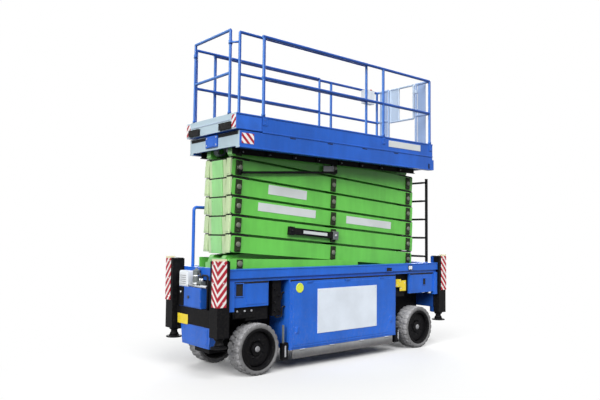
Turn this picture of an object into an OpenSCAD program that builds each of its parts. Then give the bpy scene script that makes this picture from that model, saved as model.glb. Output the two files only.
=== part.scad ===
// Narrow electric scissor lift with six scissor levels, four corner jacks and a sliding platform extension.
// Millimetres. +X runs along the machine towards the ladder end, +Y to its left, +Z up from the ground.

/* [Wheels] */
// Distance of the hubs in from the chassis ends
axle_in = 440; // [400:10:480]
// Distance between the middles of the two tyres of an axle
track_w = 898; // [880:2:910]
// Outside diameter of a tyre
tyre_d = 600; // [560:5:620]
// Width of a tyre
tyre_w = 230; // [200:5:240]
// Height of the tyre's wall above the rim
tyre_wall = 68; // [60:2:100]
// Diameter of the stub axle in the hub
stub_d = 80; // [60:2:90]

/* [Steering] */
// Distance of the kingpins in from the tyres' inner sides
kingpin_in = 64; // [60:1:75]
// Diameter of a kingpin
kingpin_d = 50; // [40:2:60]
// Thickness of the front axle beam
axle_beam_h = 60; // [50:5:80]
// Width of the front axle beam along the machine
axle_beam_w = 120; // [90:5:140]
// Height of a steering head above the tyres
head_h = 150; // [100:5:170]

/* [Chassis] */
// Length of the chassis top frame
chassis_l = 3800; // [3760:10:3820]
// Width of the chassis top frame
chassis_w = 1128; // [1100:4:1140]
// Height of the chassis top edge
chassis_top = 1236; // [1226:2:1246]
// Height of the side beams
beam_h = 106; // [90:2:116]
// Width of the side beams
beam_w = 100; // [80:5:120]
// Thickness of the chassis floor
floor_t = 40; // [30:5:50]
// Height of the belly above the ground
belly_z = 240; // [220:5:255]
// Space between the front tyres and the battery boxes
box_front_gap = 150; // [120:5:200]
// Space between the rear tyres and the battery boxes
box_rear_gap = 230; // [150:5:260]
// Depth of the pothole guards below the boxes
pothole_h = 110; // [80:5:130]

/* [Corner jacks] */
// Length of a jack column along the machine
column_l = 160; // [140:2:200]
// Width of a jack column across the machine
column_w = 160; // [140:2:170]
// How far the guards stand out past the chassis sides
guard_side = 34; // [30:1:50]
// Length of each leg of a striped guard
guard_leg = 120; // [100:5:150]
// Height of a striped guard
guard_h = 536; // [480:4:560]
// Height of a guard's lower edge
guard_z = 820; // [800:5:840]
// Thickness of a guard
guard_t = 8; // [6:1:10]
// Diameter of a jack leg
leg_d = 80; // [60:2:90]
// Diameter of a jack foot
foot_d = 124; // [110:2:126]
// Height of a foot above the ground when the jack is in
foot_z = 360; // [340:5:380]
// Height of the cross beam between two columns
jack_beam_h = 200; // [160:5:220]
// Diameter of the hole in a lashing lug
lug_bore = 40; // [30:1:44]

/* [Scissors] */
// Distance of the fixed end pins in from the chassis end
pin_front_in = 300; // [280:5:330]
// Distance of the rolling end pins in from the chassis end, lowered
pin_rear_in = 375; // [350:5:400]
// Height of the lowest pins above the chassis floor
pin_rise = 157; // [150:1:170]
// Space between two arms above each other, lowered
level_gap = 30; // [24:1:40]
// Depth of an arm
arm_h = 200; // [180:2:206]
// Length of an arm past its end pins
arm_over = 95; // [80:5:100]
// Thickness of an arm
arm_t = 90; // [80:2:92]
// Clear width between the inner arms
bay_w = 192; // [170:2:200]
// Space between an outer and an inner arm
arm_gap = 6; // [5:1:8]
// Diameter of the scissor pins
pin_d = 70; // [56:2:80]
// Diameter of the rollers
roller_d = 100; // [90:2:104]
// Thickness of the plates on the pin ends
pin_plate_t = 15; // [10:1:20]

/* [Lift cylinders] */
// Diameter of a cylinder barrel
barrel_d = 104; // [90:2:110]
// Diameter of a cylinder rod
rod_d = 64; // [50:2:70]
// Diameter of the pin under a barrel
barrel_pin_d = 50; // [40:2:56]
// Place of the barrel pin along its arm
barrel_seat = 1450; // [1430:5:1460]
// Place of the rod eye along the arm above
rod_seat = 250; // [240:5:270]

/* [Platform] */
// How far the platform reaches past the fixed pins
plat_front = 180; // [160:5:200]
// How far the platform reaches past the rolling pins, lowered
plat_rear = 265; // [220:5:300]
// Width of the platform
plat_w = 1110; // [1090:2:1130]
// Space between the arms and the deck above them
arm_clear = 33; // [30:1:50]
// Height of the frame band and of the toe board band
band_h = 200; // [190:2:210]
// Width of a platform side channel
channel_w = 75; // [60:5:90]
// Thickness of the deck
deck_t = 40; // [30:2:44]
// Thickness of a toe board
toe_t = 25; // [20:1:30]
// Height of the top rails above the toe boards
rail_rise = 970; // [940:5:1000]
// Height of the middle rails above the toe boards
mid_rise = 470; // [430:5:500]
// Diameter of the platform rails
rail_d = 40; // [34:1:42]
// Distance of the gate end posts in from the platform's end
end_post_in = 55; // [40:5:80]
// Width of the way through the gate, between post middles
gate_w = 566; // [540:2:580]

/* [Extension] */
// Length of the platform end that slides out
ext_end_l = 370; // [340:5:375]
// How far the extension stands out past the platform frame
ext_over = 53; // [40:1:60]
// Length of the extension deck
ext_l = 2228; // [2200:4:2300]
// Thickness of the extension deck
ext_deck_t = 40; // [30:2:44]
// Height of the runners that it slides on
runner_h = 10; // [8:1:14]
// Diameter of the extension rails
ext_rail_d = 36; // [30:1:38]
// Distance between the end rail's posts
end_rail_w = 794; // [740:2:840]

/* [Ladder and handrail] */
// Width between the ladder's stiles
ladder_w = 570; // [500:5:600]
// Height of the ladder's top
ladder_top = 2530; // [2480:5:2560]
// Distance between the rungs
rung_step = 290; // [270:5:300]
// Diameter of a rung
rung_d = 28; // [24:1:32]
// Height of the handrail hoop above the chassis floor
hoop_h = 840; // [780:5:880]
// Length of the handrail hoop
hoop_l = 600; // [500:10:700]
// Diameter of the handrail tube
hoop_d = 40; // [32:1:44]

/* [Hidden] */
$fn = 48;

// Clearances: a running fit, a sliding seat and the room around what moves
fit_gap = 0.05;
seat_gap = 0.3;
safe_gap = 10;
// How far a cut runs past a face, or a joined piece into the other
lap = 1;

// Chassis outline and floor
chassis_x = chassis_l / 2;
side_y = chassis_w / 2;
trough_y = side_y - beam_w;
floor_z = chassis_top - beam_h;
floor_low = floor_z - floor_t;

// Wheels and axles
hub_x = chassis_x - axle_in;
hub_z = tyre_d / 2;
rim_d = tyre_d - 2 * tyre_wall;
wheel_y = track_w / 2;
tyre_in_y = wheel_y - tyre_w / 2;
kingpin_y = tyre_in_y - kingpin_in;
knuckle_w = 100;
beam_in = 10;
beam_out_y = kingpin_y + knuckle_w / 2 - beam_in;
beam_low_z = belly_z - axle_beam_h;
head_gap = 40;
head_z = tyre_d + head_gap;
head_l = 310;
hub_out = 60;
hub_cap = 10;
hub_wall = 35;
disc_at = 20;
disc_t = 25;
rim_wall = 24;
bead_in = 15;
wall_in = 40;
shoulder = 22;
axle_tube_d = 180;
axle_clear = 9;

// Chassis boxes and covers
floor_in = 24;
core_gap = 60;
core_y = kingpin_y - knuckle_w / 2 - core_gap;
end_beam_w = 60;
box_x0 = -hub_x + tyre_d / 2 + box_front_gap;
box_x1 = hub_x - tyre_d / 2 - box_rear_gap;
core_x = chassis_x - safe_gap;
cover_t = 40;
cover_y = side_y - floor_in;
cover_low = head_z + head_h + safe_gap;
front_cover_l = 570;
rear_cover_l = 620;
cover_post_w = 70;
cover_post_drop = 40;
pump_l = 300;
pump_gap = 160;
pump_in = 94;
arch_block_l = 130;
arch_block_at = 80;
arch_block_w = 90;
arch_block_in = 74;
arch_block_gap = 60;
pothole_end = 60;
pothole_t = 15;
pothole_in = 20;
bracket_l = 90;
bracket_t = 50;
bracket_rise = 90;

// Corner jacks
column_gap = 2;
column_x0 = chassis_x + column_gap;
column_x1 = column_x0 + column_l;
guard_x = column_x1 + guard_t;
guard_y = side_y + guard_side;
column_x = (column_x0 + column_x1) / 2;
column_y = guard_y - guard_t - column_w / 2;
column_low = 480;
column_rise = 94;
column_top = chassis_top + column_rise;
leg_top = 1080;
leg_room = 150;
foot_t = 30;
jack_beam_z = 560;
jack_beam_w = 100;
jack_beam_x = core_x + jack_beam_w;
jack_beam_top = jack_beam_z + jack_beam_h;
lug_t = 25;
lug_w = 60;
lug_h = 84;
lug_gap = 5;
lug_y = column_y - column_w / 2 - lug_w / 2 - lug_gap;

// What hangs below and stands on the front jack beam
nose_h = 240;
nose_side = 20;
nose_y = lug_y - lug_w / 2 - nose_side;
nose_taper = 45;
nose_low_y = nose_y - nose_taper;
nose_t = 80;
nose_gap = 15;
cabinet_y0 = -120;
cabinet_gap = 40;
cabinet_y1 = column_y - column_w / 2 - cabinet_gap;
cabinet_drop = 90;
cabinet_top = floor_low - cabinet_drop;
charger_w = 200;
charger_h = 180;
charger_in = 8;
tank_d = 84;
tank_gap = 88;
tank_y = cabinet_y1 - charger_w - tank_gap - tank_d / 2;
tank_h = 190;

// Ladder and handrail
stile_w = 25;
stile_l = 40;
rung_top_in = 50;
rung_low_in = 100;
hoop_gap = 5;
hoop_x = -chassis_x + end_beam_w + hoop_d / 2 + hoop_gap;
hoop_side = 89;
hoop_y = trough_y - hoop_side;
hoop_bend = 40;

// Scissor geometry
pin_left_x = -chassis_x + pin_front_in;
pin_right_x = chassis_x - pin_rear_in;
pin_span = pin_right_x - pin_left_x;
base_pin_z = floor_z + pin_rise;
level_pitch = arm_h + level_gap;
arm_l = sqrt(pin_span * pin_span + level_pitch * level_pitch);
rest_angle = atan2(level_pitch, pin_span);
inner_y0 = bay_w / 2;
inner_y1 = inner_y0 + arm_t;
outer_y0 = inner_y1 + arm_gap;
outer_y1 = outer_y0 + arm_t;
arm_trim = 25;
roller_in = 4;
roller_side = 6;
roller_y0 = inner_y0 + roller_in;
roller_y1 = inner_y1 - roller_side;
top_roller_in = 12;
top_roller_y1 = outer_y1 - top_roller_in;
track_end = 125;
track_start = 1250;
track_x0 = pin_left_x + track_start;
track_x1 = pin_right_x + track_end;
chassis_track_z = base_pin_z - roller_d / 2 - seat_gap;
top_pin_z = base_pin_z + 6 * level_pitch;
plat_track_z = top_pin_z + roller_d / 2 + seat_gap;
ear_r = 60;
ear_w = 180;
base_plate_front = 150;
base_plate_l = 2150;
base_plate_h = 220;
base_plate_mid = 1750;
base_plate_mid_h = 172;
base_plate_t = 16;
base_plate_gap = 38;
base_plate_y = outer_y1 + base_plate_gap;
base_plate_drop = (base_plate_l - base_plate_mid) * level_pitch / pin_span;
base_pin_out = 8;
tie_t = 50;
tie_in = 45;
tie_h = 130;
mid_tie_at = 2000;
plate_w = 80;
plate_h = 170;

// Lift cylinders
barrel_eye_r = 48;
barrel_eye_lap = 4;
barrel_eye_y = 40;
rod_eye_r = 45;
rod_eye_y = 36;
rod_boss_y = 40;
rod_boss_r = 35;
rod_pin_r = 22;
barrel_end_gap = 80;
barrel_blind = 250;
rod_gap = 95;

// Platform
plat_left = pin_left_x - plat_front;
plat_right = pin_right_x + plat_rear;
plat_y = plat_w / 2;
deck_low = top_pin_z + arm_h / 2 + arm_clear;
deck_z = deck_low + deck_t;
plat_z = deck_z - band_h;
toe_z = deck_z + band_h;
frame_y = plat_y - channel_w;
frame_end_w = 35;
frame_end_up = 20;
runner_w = 40;
end_toe_h = 150;
end_toe_gap = 5;
rail_z = toe_z + rail_rise;
mid_z = toe_z + mid_rise;
post_y = plat_y - toe_t / 2;
end_post_x = plat_right - end_post_in;
gate_y = gate_w / 2;
gate_tube = 32;
gate_slack = 7;
gate_arm = 48;
gate_h = 530;
gate_panel_w = 172;
gate_panel_t = 6;
sleeve_wall = 10;
sleeve_h = 50;
sleeve_low = 90;
sleeve_up = 140;
strap_t = 16;
sheet_t = 8;
sheet_in = 72;
sheet_gap = 6;
sheet_low = 10;
control_in = 385;
control_x = end_post_x - control_in;
control_l = 210;
control_w = 102;
control_h = 218;
control_y = 8;
control_z = 12;

// Extension
ext_left = plat_left - ext_over;
ext_joint_x = ext_left + ext_end_l;
main_toe_x = ext_joint_x + safe_gap;
ext_z = deck_z + runner_h + seat_gap;
ext_top = ext_z + ext_deck_t;
ext_side_gap = 15;
ext_y = plat_y - toe_t - ext_side_gap;
ext_post_in = 25;
ext_post_y = ext_y - ext_post_in;
ext_post_at = 83;
ext_post_x = ext_left + ext_post_at;
ext_back_x = ext_left + toe_t + ext_l;
ext_back_in = 27;
ext_back_post_x = ext_back_x - ext_back_in;
end_rail_x = ext_left + toe_t / 2;
end_rail_up = 32;
end_mid_up = 20;
buffer_t = 30;
buffer_y = 230;
buffer_w = 240;
buffer_h = 80;
buffer_up = 10;
main_post_x0 = main_toe_x + rail_d / 2;
main_post_bay = 1050;
main_post_x1 = end_post_x - main_post_bay;
end_rail_top = rail_z + end_rail_up;

function level(n) = base_pin_z + n * level_pitch;
function inner_point(n, s) = [pin_left_x + s * cos(rest_angle), level(n - 1) + s * sin(rest_angle)];

module box(x0, x1, y0, y1, z0, z1) {
    translate([x0, y0, z0]) cube([x1 - x0, y1 - y0, z1 - z0]);
}

module both_sides() {
    children();
    mirror([0, 1, 0]) children();
}

module both_ends() {
    children();
    mirror([1, 0, 0]) children();
}

// Round bar along Y between y0 and y1
module bar_y(d, x, z, y0, y1) {
    translate([x, y0, z]) rotate([-90, 0, 0]) cylinder(d = d, h = y1 - y0);
}

// Round bar along X between x0 and x1
module bar_x(d, y, z, x0, x1) {
    translate([x0, y, z]) rotate([0, 90, 0]) cylinder(d = d, h = x1 - x0);
}

// Round bar along Z between z0 and z1
module bar_z(d, x, y, z0, z1) {
    translate([x, y, z0]) cylinder(d = d, h = z1 - z0);
}

// Chassis

module chassis_frame() {
    color("royalblue") {
        box(-core_x, core_x, -cover_y, cover_y, floor_low, floor_z);
        both_sides() box(-chassis_x, chassis_x, trough_y, side_y, floor_z, chassis_top);
        both_ends() box(chassis_x - end_beam_w, chassis_x, -trough_y, trough_y, floor_z, chassis_top);
    }
}

module chassis_core() {
    color("royalblue") box(-core_x, core_x, -core_y, core_y, belly_z, floor_low);
}

// Pivot ears with their pins on the left, roller tracks on the right
module scissor_base() {
    color("limegreen") both_sides() {
        box(pin_left_x - ear_w / 2, pin_left_x + ear_w / 2, outer_y0, outer_y1, floor_z, base_pin_z);
        bar_y(2 * ear_r, pin_left_x, base_pin_z, outer_y0, outer_y1);
        bar_y(pin_d, pin_left_x, base_pin_z, inner_y0, outer_y0);
        bar_y(pin_d, pin_left_x, base_pin_z, outer_y1, base_plate_y + base_plate_t + base_pin_out);
        base_plate();
        box(track_x0, track_x1, roller_y0, roller_y1, floor_z, chassis_track_z);
    }
}

// Side plate that holds the fixed pin, its top edge up to the lower edge of the folded arm beside it
module base_plate() {
    translate([pin_left_x - base_plate_front, base_plate_y + base_plate_t, floor_z]) rotate([90, 0, 0])
        linear_extrude(height = base_plate_t)
            polygon([[0, 0], [base_plate_l, 0], [base_plate_l, base_plate_mid_h - base_plate_drop],
                [base_plate_mid, base_plate_mid_h], [0, base_plate_h]]);
}

module side_boxes() {
    color("royalblue") both_sides() box(box_x0, box_x1, core_y, side_y, belly_z, floor_low);
}

// Plates over the wheels, each with a post at the chassis end
module wheel_covers() {
    color("royalblue") both_sides() {
        box(-core_x, -core_x + front_cover_l, cover_y - cover_t, cover_y, cover_low, floor_low);
        box(core_x - rear_cover_l, core_x, cover_y - cover_t, cover_y, cover_low, floor_low);
        both_ends() box(core_x - cover_post_w, core_x, cover_y - cover_t, side_y,
            cover_low - cover_post_drop, floor_low);
    }
}

// Pump blocks behind the side boxes, and a valve block hung above each front tyre
module pump_blocks() {
    arch_x = box_x0 - arch_block_at;
    arch_y = side_y - arch_block_in;
    color("dimgray") both_sides() {
        box(box_x1, box_x1 + pump_l, core_y, side_y - pump_in, tyre_d + pump_gap, floor_low);
        box(arch_x - arch_block_l, arch_x, arch_y - arch_block_w, arch_y, tyre_d + arch_block_gap, floor_low);
    }
}

// Beam under the belly, steering heads above the tyres and the kingpins between them
module front_axle() {
    color("dimgray") {
        box(-hub_x - axle_beam_w / 2, -hub_x + axle_beam_w / 2, -beam_out_y, beam_out_y,
            beam_low_z, belly_z);
        both_sides() {
            box(-hub_x - head_l / 2, -hub_x + head_l / 2, core_y, cover_y - cover_t,
                head_z, head_z + head_h);
            bar_z(kingpin_d, -hub_x, kingpin_y, belly_z, head_z);
        }
    }
}

module rear_axle() {
    color("dimgray") both_sides() {
        bar_y(axle_tube_d, hub_x, hub_z, core_y, tyre_in_y - axle_clear);
        bar_y(stub_d, hub_x, hub_z, core_y, wheel_y + hub_out);
    }
}

// Two columns and a cross beam at each end, drilled for the sliding legs, with lashing lugs below the beam
module jack_frames() {
    color("dimgray") both_ends() difference() {
        union() {
            box(core_x, jack_beam_x, -column_y, column_y, jack_beam_z, jack_beam_top);
            both_sides() box(jack_beam_x - lug_t, jack_beam_x, lug_y - lug_w / 2, lug_y + lug_w / 2,
                jack_beam_z - lug_h, jack_beam_z);
            both_sides() box(column_x0, column_x1, column_y - column_w / 2, column_y + column_w / 2,
                column_low, column_top);
        }
        both_sides() bar_z(leg_d + 2 * fit_gap, column_x, column_y, column_low - lap, leg_top + leg_room);
        both_sides() bar_x(lug_bore, lug_y, jack_beam_z - lug_h / 2,
            jack_beam_x - lug_t - lap, jack_beam_x + lap);
    }
}

module jack_guards() {
    color("crimson") both_ends() both_sides() {
        box(guard_x - guard_leg, guard_x, guard_y - guard_t, guard_y, guard_z, guard_z + guard_h);
        box(guard_x - guard_t, guard_x, guard_y - guard_leg, guard_y, guard_z, guard_z + guard_h);
    }
}

module nose_plate() {
    color("royalblue")
        translate([-core_x - nose_gap, 0, jack_beam_z - nose_h]) rotate([90, 0, -90])
            linear_extrude(height = nose_t)
                polygon([[-nose_low_y, 0], [nose_low_y, 0], [nose_y, nose_h], [-nose_y, nose_h]]);
}

module end_cabinet() {
    color("royalblue") box(-jack_beam_x, -column_x0, cabinet_y0, cabinet_y1, jack_beam_top, cabinet_top);
}

module charger_box() {
    color("gainsboro") box(-jack_beam_x, -column_x0 - charger_in, cabinet_y1 - charger_w, cabinet_y1,
        cabinet_top, cabinet_top + charger_h);
}

module oil_tank() {
    color("gray") bar_z(tank_d, -jack_beam_x + tank_d / 2, tank_y, cabinet_top, cabinet_top + tank_h);
}

// Hoop that a person holds when climbing on the chassis
module handrail() {
    hoop_x1 = hoop_x + hoop_l;
    hoop_top = floor_z + hoop_h;
    bend_z = hoop_top - hoop_bend;
    color("royalblue") {
        bar_z(hoop_d, hoop_x, hoop_y, floor_z, bend_z);
        bar_z(hoop_d, hoop_x1, hoop_y, floor_z, bend_z);
        bar_x(hoop_d, hoop_y, hoop_top, hoop_x + hoop_bend, hoop_x1 - hoop_bend);
        translate([hoop_x + hoop_bend, hoop_y, bend_z]) rotate([90, 0, 0]) rotate([0, 0, 90])
            rotate_extrude(angle = 90) translate([hoop_bend, 0]) circle(d = hoop_d);
        translate([hoop_x1 - hoop_bend, hoop_y, bend_z]) rotate([90, 0, 0])
            rotate_extrude(angle = 90) translate([hoop_bend, 0]) circle(d = hoop_d);
    }
}

module ladder() {
    stile_x = jack_beam_x - stile_l / 2;
    color("dimgray") {
        both_sides() box(stile_x - stile_l / 2, stile_x + stile_l / 2, ladder_w / 2, ladder_w / 2 + stile_w,
            jack_beam_top, ladder_top);
        for (z = [ladder_top - rung_top_in : -rung_step : jack_beam_top + rung_low_in])
            bar_y(rung_d, stile_x, z, -ladder_w / 2, ladder_w / 2);
    }
}

module pothole_guards() {
    color("darkgray") both_sides() box(box_x0 + pothole_end, box_x1 - pothole_end,
        side_y - pothole_in, side_y - pothole_in + pothole_t, belly_z - pothole_h, belly_z);
}

// Brackets at both ends of the boxes, reaching down beside the pothole guards
module pothole_brackets() {
    color("dimgray") both_sides() for (x = [box_x0 - bracket_l, box_x1])
        box(x, x + bracket_l, side_y - pothole_in - bracket_t, side_y - pothole_in,
            belly_z - pothole_h, belly_z + bracket_rise);
}

// Wheels

module wheel_place(x, side) {
    translate([x, side * wheel_y, hub_z]) rotate([-90 * side, 0, 0]) children();
}

module tyre(x, side) {
    r = tyre_d / 2;
    w = tyre_w / 2;
    color("darkgray") wheel_place(x, side) rotate_extrude($fn = 96)
        polygon([[rim_d / 2, -w + bead_in], [r - wall_in, -w], [r - shoulder, -w], [r, -w + shoulder],
            [r, w - shoulder], [r - shoulder, w], [r - wall_in, w], [rim_d / 2, w - bead_in]]);
}

// Rim with its disc near the outside and a hub bored for the stub axle
module rim(x, side) {
    rim_w = tyre_w - 2 * bead_in;
    bore_r = stub_d / 2 + fit_gap;
    color("dimgray") wheel_place(x, side) rotate_extrude($fn = 96) {
        translate([rim_d / 2 - rim_wall, -rim_w / 2]) square([rim_wall, rim_w]);
        translate([bore_r, disc_at]) square([rim_d / 2 - rim_wall - stub_d / 2, disc_t]);
        translate([bore_r, -hub_out]) square([hub_wall, 2 * hub_out + hub_cap]);
    }
}

// Steering knuckle turning on its kingpin, with the stub axle for the wheel
module knuckle(side) {
    low = belly_z + seat_gap;
    top = head_z - seat_gap;
    color("dimgray") mirror([0, side < 0 ? 1 : 0, 0]) difference() {
        union() {
            box(-hub_x - knuckle_w / 2, -hub_x + knuckle_w / 2,
                kingpin_y - knuckle_w / 2, kingpin_y + knuckle_w / 2, low, top);
            bar_y(stub_d, -hub_x, hub_z, kingpin_y + knuckle_w / 2 - lap, wheel_y + hub_out);
        }
        bar_z(kingpin_d + 2 * fit_gap, -hub_x, kingpin_y, low - lap, top + lap);
    }
}

// Jack leg with its foot
module leg(end, side) {
    color("dimgray") {
        bar_z(leg_d, end * column_x, side * column_y, foot_z, leg_top);
        bar_z(foot_d, end * column_x, side * column_y, foot_z, foot_z + foot_t);
    }
}

// Scissors

// Flat bar with trimmed corners along +X, between two distances from the middle
module arm(y0, y1) {
    x0 = -arm_over;
    x1 = arm_l + arm_over;
    h = arm_h / 2;
    translate([0, y1, 0]) rotate([90, 0, 0]) linear_extrude(height = y1 - y0)
        polygon([[x0 + arm_trim, -h], [x1 - arm_trim, -h], [x1, -h + arm_trim], [x1, h - arm_trim],
            [x1 - arm_trim, h], [x0 + arm_trim, h], [x0, h - arm_trim], [x0, -h + arm_trim]]);
}

// Outer pair: slopes down to the right and carries the pins of its three pivots
module outer(n) {
    color("limegreen") translate([pin_left_x, 0, level(n)]) rotate([0, rest_angle, 0]) both_sides() {
        arm(outer_y0, outer_y1);
        for (s = [0, arm_l / 2, arm_l]) {
            bar_y(pin_d, s, 0, inner_y0, outer_y0);
            box(s - plate_w / 2, s + plate_w / 2, outer_y1, outer_y1 + pin_plate_t,
                -plate_h / 2, plate_h / 2);
        }
        if (n == 1) bar_y(roller_d, arm_l, 0, roller_y0, roller_y1);
    }
}

// Inner pair: slopes up to the right, bored for the outer pair's pins and tied across
module inner(n) {
    last = n == 6;
    bores = last ? [0, arm_l / 2] : [0, arm_l / 2, arm_l];
    color("limegreen") translate([pin_left_x, 0, level(n - 1)]) rotate([0, -rest_angle, 0]) {
        both_sides() difference() {
            arm(inner_y0, inner_y1);
            for (s = bores) bar_y(pin_d + 2 * fit_gap, s, 0, inner_y0 - lap, inner_y1 + lap);
        }
        box(-tie_in - tie_t, -tie_in, -inner_y0, inner_y0, -tie_h / 2, tie_h / 2);
        box(arm_l + tie_in, arm_l + tie_in + tie_t, -inner_y0, inner_y0, -tie_h / 2, tie_h / 2);
        box(mid_tie_at - tie_h / 2, mid_tie_at + tie_h / 2, -inner_y0, inner_y0, -tie_h / 2, tie_h / 2);
        if (last) both_sides() bar_y(roller_d, arm_l, 0, inner_y1, top_roller_y1);
        if (n == 2 || n == 4) bar_y(barrel_pin_d, barrel_seat, 0, -inner_y0, inner_y0);
        if (n == 3 || n == 5) both_sides() bar_y(2 * rod_boss_r, rod_seat, 0, rod_boss_y, inner_y0);
    }
}

// Lift cylinder between inner pair n and the one above it, along +X from its barrel pin
module cylinder_place(n) {
    foot = inner_point(n, barrel_seat);
    eye = inner_point(n + 1, rod_seat);
    translate([foot[0], 0, foot[1]]) rotate([0, -atan2(eye[1] - foot[1], eye[0] - foot[0]), 0]) children();
}

cylinder_l = norm(inner_point(3, rod_seat) - inner_point(2, barrel_seat));
barrel_l = cylinder_l - barrel_end_gap;

module barrel(n) {
    color("dimgray") cylinder_place(n) difference() {
        union() {
            bar_y(2 * barrel_eye_r, 0, 0, -barrel_eye_y, barrel_eye_y);
            bar_x(barrel_d, 0, 0, barrel_eye_r - barrel_eye_lap, barrel_l);
        }
        bar_y(barrel_pin_d + 2 * fit_gap, 0, 0, -barrel_eye_y - lap, barrel_eye_y + lap);
        bar_x(rod_d + 2 * fit_gap, 0, 0, barrel_blind, barrel_l + lap);
    }
}

module rod(n) {
    color("silver") cylinder_place(n) difference() {
        union() {
            bar_x(rod_d, 0, 0, barrel_blind + rod_gap, cylinder_l);
            bar_y(2 * rod_eye_r, cylinder_l, 0, -rod_eye_y, rod_eye_y);
        }
        bar_y(2 * rod_pin_r, cylinder_l, 0, -rod_eye_y - lap, rod_eye_y + lap);
    }
}

// Platform

module platform_frame() {
    color("royalblue") {
        both_sides() box(plat_left, plat_right, frame_y, plat_y, plat_z, deck_z);
        box(plat_left, plat_left + frame_end_w, -frame_y, frame_y, plat_z + frame_end_up, deck_z);
        box(plat_right - frame_end_w, plat_right, -frame_y, frame_y, plat_z + frame_end_up, deck_z);
    }
}

// Deck with the runners for the extension, and the pivot ears and roller tracks below it
module platform_deck() {
    color("lightsteelblue") {
        box(plat_left + frame_end_w, plat_right - frame_end_w, -frame_y, frame_y, deck_low, deck_z);
        both_sides() {
            box(plat_left + frame_end_w, ext_back_x, frame_y - runner_w, frame_y,
                deck_z, deck_z + runner_h);
            box(track_x0, track_x1, outer_y0, top_roller_y1, plat_track_z, deck_low);
            difference() {
                union() {
                    bar_y(2 * ear_r, pin_left_x, top_pin_z, inner_y0, inner_y1);
                    box(pin_left_x - ear_r, pin_left_x + ear_r, inner_y0, inner_y1,
                        top_pin_z, deck_low);
                }
                bar_y(pin_d + 2 * fit_gap, pin_left_x, top_pin_z, inner_y0 - lap, inner_y1 + lap);
            }
        }
    }
}

module toe_boards() {
    end_toe_y = plat_y - toe_t - end_toe_gap;
    color("royalblue") {
        both_sides() box(main_toe_x, plat_right, plat_y - toe_t, plat_y, deck_z, toe_z);
        box(end_post_x - toe_t / 2, end_post_x + toe_t / 2, -end_toe_y, end_toe_y,
            deck_z, deck_z + end_toe_h);
    }
}

module main_posts() {
    color("royalblue") both_sides() {
        for (x = [main_post_x0, main_post_x1, end_post_x]) bar_z(rail_d, x, post_y, toe_z, rail_z);
        bar_z(rail_d, end_post_x, gate_y, deck_z + end_toe_h, rail_z);
    }
}

// Side rails, and at the gate end short rails that each hold a sheet beside the gate
module main_rails() {
    sheet_y = gate_y + rail_d / 2 + sleeve_wall + sheet_gap;
    color("royalblue") both_sides() {
        for (z = [rail_z, mid_z]) {
            bar_x(rail_d, post_y, z, main_post_x0 - rail_d / 2, end_post_x - rail_d / 2);
            bar_y(rail_d, end_post_x, z, gate_y, post_y);
        }
        box(end_post_x - sheet_t / 2, end_post_x + sheet_t / 2, sheet_y, post_y - sheet_in,
            deck_z + end_toe_h + sheet_low, rail_z);
    }
}

// Entrance gate with sleeves around its fixed post, opening inwards
module gate() {
    hinge_y = -gate_y;
    near_y = hinge_y + gate_arm;
    far_y = gate_y - rail_d / 2 - gate_tube / 2 - gate_slack;
    panel_y = far_y - gate_panel_w;
    low_z = rail_z - gate_h;
    color("white") {
        for (y = [near_y, panel_y, far_y]) bar_z(gate_tube, end_post_x, y, low_z, rail_z);
        for (z = [low_z, rail_z]) bar_y(gate_tube, end_post_x, z, near_y, far_y);
        box(end_post_x - gate_panel_t / 2, end_post_x + gate_panel_t / 2, panel_y, far_y, low_z, rail_z);
        for (z = [low_z + sleeve_low, rail_z - sleeve_up]) difference() {
            union() {
                bar_z(rail_d + 2 * sleeve_wall, end_post_x, hinge_y, z, z + sleeve_h);
                box(end_post_x - strap_t / 2, end_post_x + strap_t / 2, hinge_y, near_y, z, z + sleeve_h);
            }
            bar_z(rail_d + 2 * fit_gap, end_post_x, hinge_y, z - lap, z + sleeve_h + lap);
        }
    }
}

module control_box() {
    control_y1 = post_y - control_y;
    control_z1 = rail_z - control_z;
    color("gainsboro") box(control_x, control_x + control_l, control_y1 - control_w, control_y1,
        control_z1 - control_h, control_z1);
}

// Extension

// Deck with its toe boards at the end and beside the part that slides out
module ext_deck() {
    color("lightsteelblue") {
        box(ext_left + toe_t, ext_back_x, -ext_y, ext_y, ext_z, ext_top);
        box(ext_left, ext_left + toe_t, -plat_y, plat_y, ext_z, toe_z);
        both_sides() box(ext_left, ext_joint_x, ext_y, plat_y, ext_z, toe_z);
    }
}

module ext_posts() {
    color("royalblue") both_sides() {
        for (x = [ext_post_x, ext_back_post_x]) bar_z(ext_rail_d, x, ext_post_y, ext_top, rail_z);
        bar_z(ext_rail_d, end_rail_x, end_rail_w / 2, toe_z, end_rail_top);
    }
}

module ext_rails() {
    color("royalblue") {
        both_sides() for (z = [rail_z, mid_z])
            bar_x(ext_rail_d, ext_post_y, z, ext_post_x, ext_back_post_x);
        for (z = [end_rail_top, mid_z + end_mid_up])
            bar_y(ext_rail_d, end_rail_x, z, -end_rail_w / 2, end_rail_w / 2);
    }
}

module ext_buffers() {
    color("black") both_sides()
        box(ext_left - buffer_t, ext_left, buffer_y, buffer_y + buffer_w,
            ext_z + buffer_up, ext_z + buffer_up + buffer_h);
}

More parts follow.
